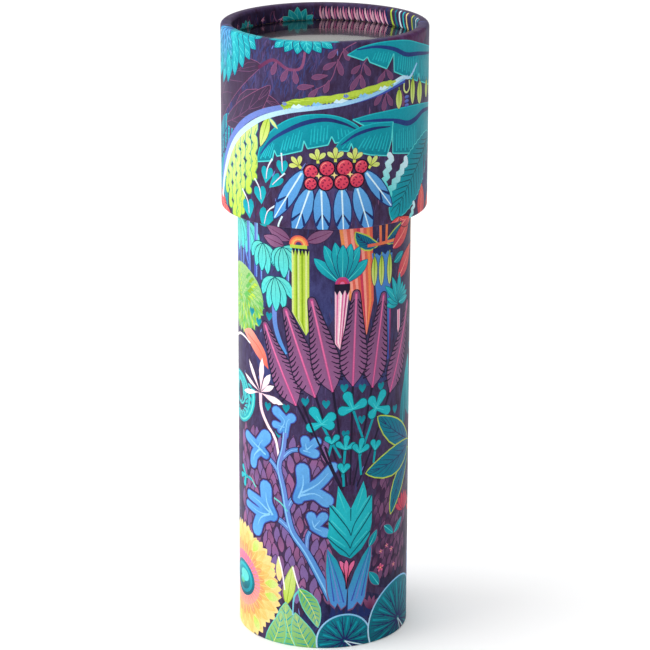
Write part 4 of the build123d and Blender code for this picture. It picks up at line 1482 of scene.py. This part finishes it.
SLOTS = {name: make(name, *values) for name, make, *values in (
    ("card", card, (0.36, 0.27, 0.18), (0.50, 0.40, 0.28)),
    ("dark_card", card, (0.035, 0.025, 0.05), (0.065, 0.05, 0.085), 0.7),
    ("black_card", card, (0.012, 0.012, 0.012), (0.03, 0.03, 0.03)),
    ("foam", foam),
    ("mirror", mirror),
    ("clear_plastic", clear_plastic),
    ("frosted_plastic", frosted_plastic),
    ("white_plastic", gloss_plastic, (0.80, 0.80, 0.77), (0.72, 0.72, 0.70)),
    ("red_bead", gloss_plastic, (0.60, 0.02, 0.05), (0.42, 0.01, 0.03), 0.6),
    ("amber_bead", gloss_plastic, (0.85, 0.32, 0.02), (0.65, 0.2, 0.01), 0.6),
    ("silver_sequin", sequin),
    ("blue_bead", gloss_plastic, (0.02, 0.10, 0.62), (0.01, 0.05, 0.4), 0.5),
    ("green_bead", gloss_plastic, (0.02, 0.36, 0.12), (0.01, 0.22, 0.07), 0.5),
    ("violet_chip", gloss_plastic, (0.25, 0.04, 0.45), (0.16, 0.02, 0.3), 0.7),
    ("turquoise_chip", gloss_plastic, (0.02, 0.42, 0.5), (0.01, 0.3, 0.36), 0.7),
)}

# ---- Build ----

REPLACED = ("barrel_wrap", "head_wrap")
for entry in frame["record"]["subparts"]:
    if entry["node"] in REPLACED:
        continue
    for slot in frame["nodes"][entry["node"]].material_slots:
        slot.material = SLOTS[entry["material_slot"]]

# The anchor of a profile is its point at the top of the lowest rounded edge, where v equals the height.
head_girth = 2 * math.pi * HEAD_R
head_print = roll_paper("head_printed_paper", draw_head(head_girth), head_girth,
                        head_profile(0.0, RIM_ROUND, FOOT_ROUND),
                        head_profile(PAPER, RIM_ROUND - PAPER, FOOT_ROUND - PAPER), 1 + CORNER_STEPS)
head_print.data.materials.append(printed_paper("printed_head"))
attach(head_print, "head")
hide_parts("head_wrap")

barrel_girth = 2 * math.pi * BARREL_R
barrel_print = roll_paper("barrel_printed_paper", draw_barrel(barrel_girth), barrel_girth,
                          barrel_profile(0.0, BASE_ROUND), barrel_profile(PAPER, BASE_ROUND - PAPER),
                          2 + CORNER_STEPS)
barrel_print.data.materials.append(printed_paper("printed_barrel"))
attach(barrel_print, "barrel")
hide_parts("barrel_wrap")

# ---- Floor, light and camera ----

AIM = (0, 0, 0.1)
LAMPS = (  # name, side in metres, power in watts, place
    ("key", 1.2, 13.0, (-1.15, -0.25, 0.5)),
    ("front", 1.0, 0.8, (0.2, -1.3, 1.0)),
)
SUN_STRENGTH = 1.95
SUN_SPREAD = 50  # degrees
FLOOR_HALF = 3.0
HORIZON = (0.06, 0.1)  # rise of the line of sight over which plain white gives way to the fade
UPWARD = (0.34, 0.6)  # rise over which the world goes from the low strengths to the high ones
LOW_STRENGTH = (1.1, 0.12)  # left, right
HIGH_STRENGTH = (0.85, 0.03)
LENS = 161.7
SENSOR = 36.0
CAMERA_PLACE = (0, -0.825, 0.3507)
CAMERA_TURN = (17.36, 0.022, 0.182)  # degrees down, to the right and clockwise


def studio_piece(name, data):
    """Puts a light, a camera or the floor into the scene."""
    made = bpy.data.objects.new(name, data)
    bpy.context.scene.collection.objects.link(made)
    return made


def fade(source, ends, strengths=None):
    """A world node that goes from its To Min to its To Max as a direction component rises."""
    node = sky.nodes.new("ShaderNodeMapRange")
    node.inputs["From Min"].default_value, node.inputs["From Max"].default_value = ends
    if strengths:
        node.inputs["To Min"].default_value, node.inputs["To Max"].default_value = strengths
    sky.links.new(direction.outputs[source], node.inputs["Value"])
    return node


scene = bpy.context.scene
scene.view_settings.view_transform = "Standard"
scene.view_settings.look = "None"

# The world is white behind the floor's edge; above that it is brighter on the left than on the right.
world = bpy.data.worlds.new("studio")
world.use_nodes = True
sky = world.node_tree
direction = sky.nodes.new("ShaderNodeSeparateXYZ")
sky.links.new(sky.nodes.new("ShaderNodeTexCoord").outputs["Generated"], direction.inputs["Vector"])
upward = fade("Z", UPWARD)
for socket, strengths in (("To Min", LOW_STRENGTH), ("To Max", HIGH_STRENGTH)):
    sky.links.new(fade("X", (-1.0, 1.0), strengths).outputs["Result"], upward.inputs[socket])
horizon = fade("Z", HORIZON, (1.0, 1.0))
sky.links.new(upward.outputs["Result"], horizon.inputs["To Max"])
backdrop = sky.nodes["Background"]
backdrop.inputs["Color"].default_value = (1, 1, 1, 1)
sky.links.new(horizon.outputs["Result"], backdrop.inputs["Strength"])
scene.world = world

floor_mesh = bpy.data.meshes.new("floor")
floor_mesh.from_pydata([(x * FLOOR_HALF, y * FLOOR_HALF, 0) for x, y in ((-1, -1), (1, -1), (1, 1), (-1, 1))],
                       [], [(0, 1, 2, 3)])
floor_mesh.materials.append(
    Shader("floor", Base_Color=(0.93, 0.93, 0.93, 1), Roughness=0.9, Specular_IOR_Level=0.1).material)
floor = studio_piece("floor", floor_mesh)

for name, side, power, place in LAMPS:
    lamp = bpy.data.lights.new(name, "AREA")
    lamp.size = side
    lamp.energy = power
    holder = studio_piece(name, lamp)
    holder.location = place
    holder.rotation_euler = (Vector(AIM) - Vector(place)).to_track_quat("-Z", "Y").to_euler()
overhead = bpy.data.lights.new("overhead", "SUN")
overhead.energy = SUN_STRENGTH
overhead.angle = math.radians(SUN_SPREAD)
studio_piece("overhead", overhead)

camera_data = bpy.data.cameras.new("camera")
camera_data.sensor_width = SENSOR
camera_data.lens = LENS
camera_data.clip_start = 0.01
camera = studio_piece("camera", camera_data)
pitch, yaw, roll = map(math.radians, CAMERA_TURN)
turn = Matrix.Rotation(-yaw, 4, "Z") @ Matrix.Rotation(math.pi / 2 - pitch, 4, "X")
camera.matrix_world = Matrix.Translation(CAMERA_PLACE) @ turn @ Matrix.Rotation(roll, 4, "Z")
scene.camera = camera
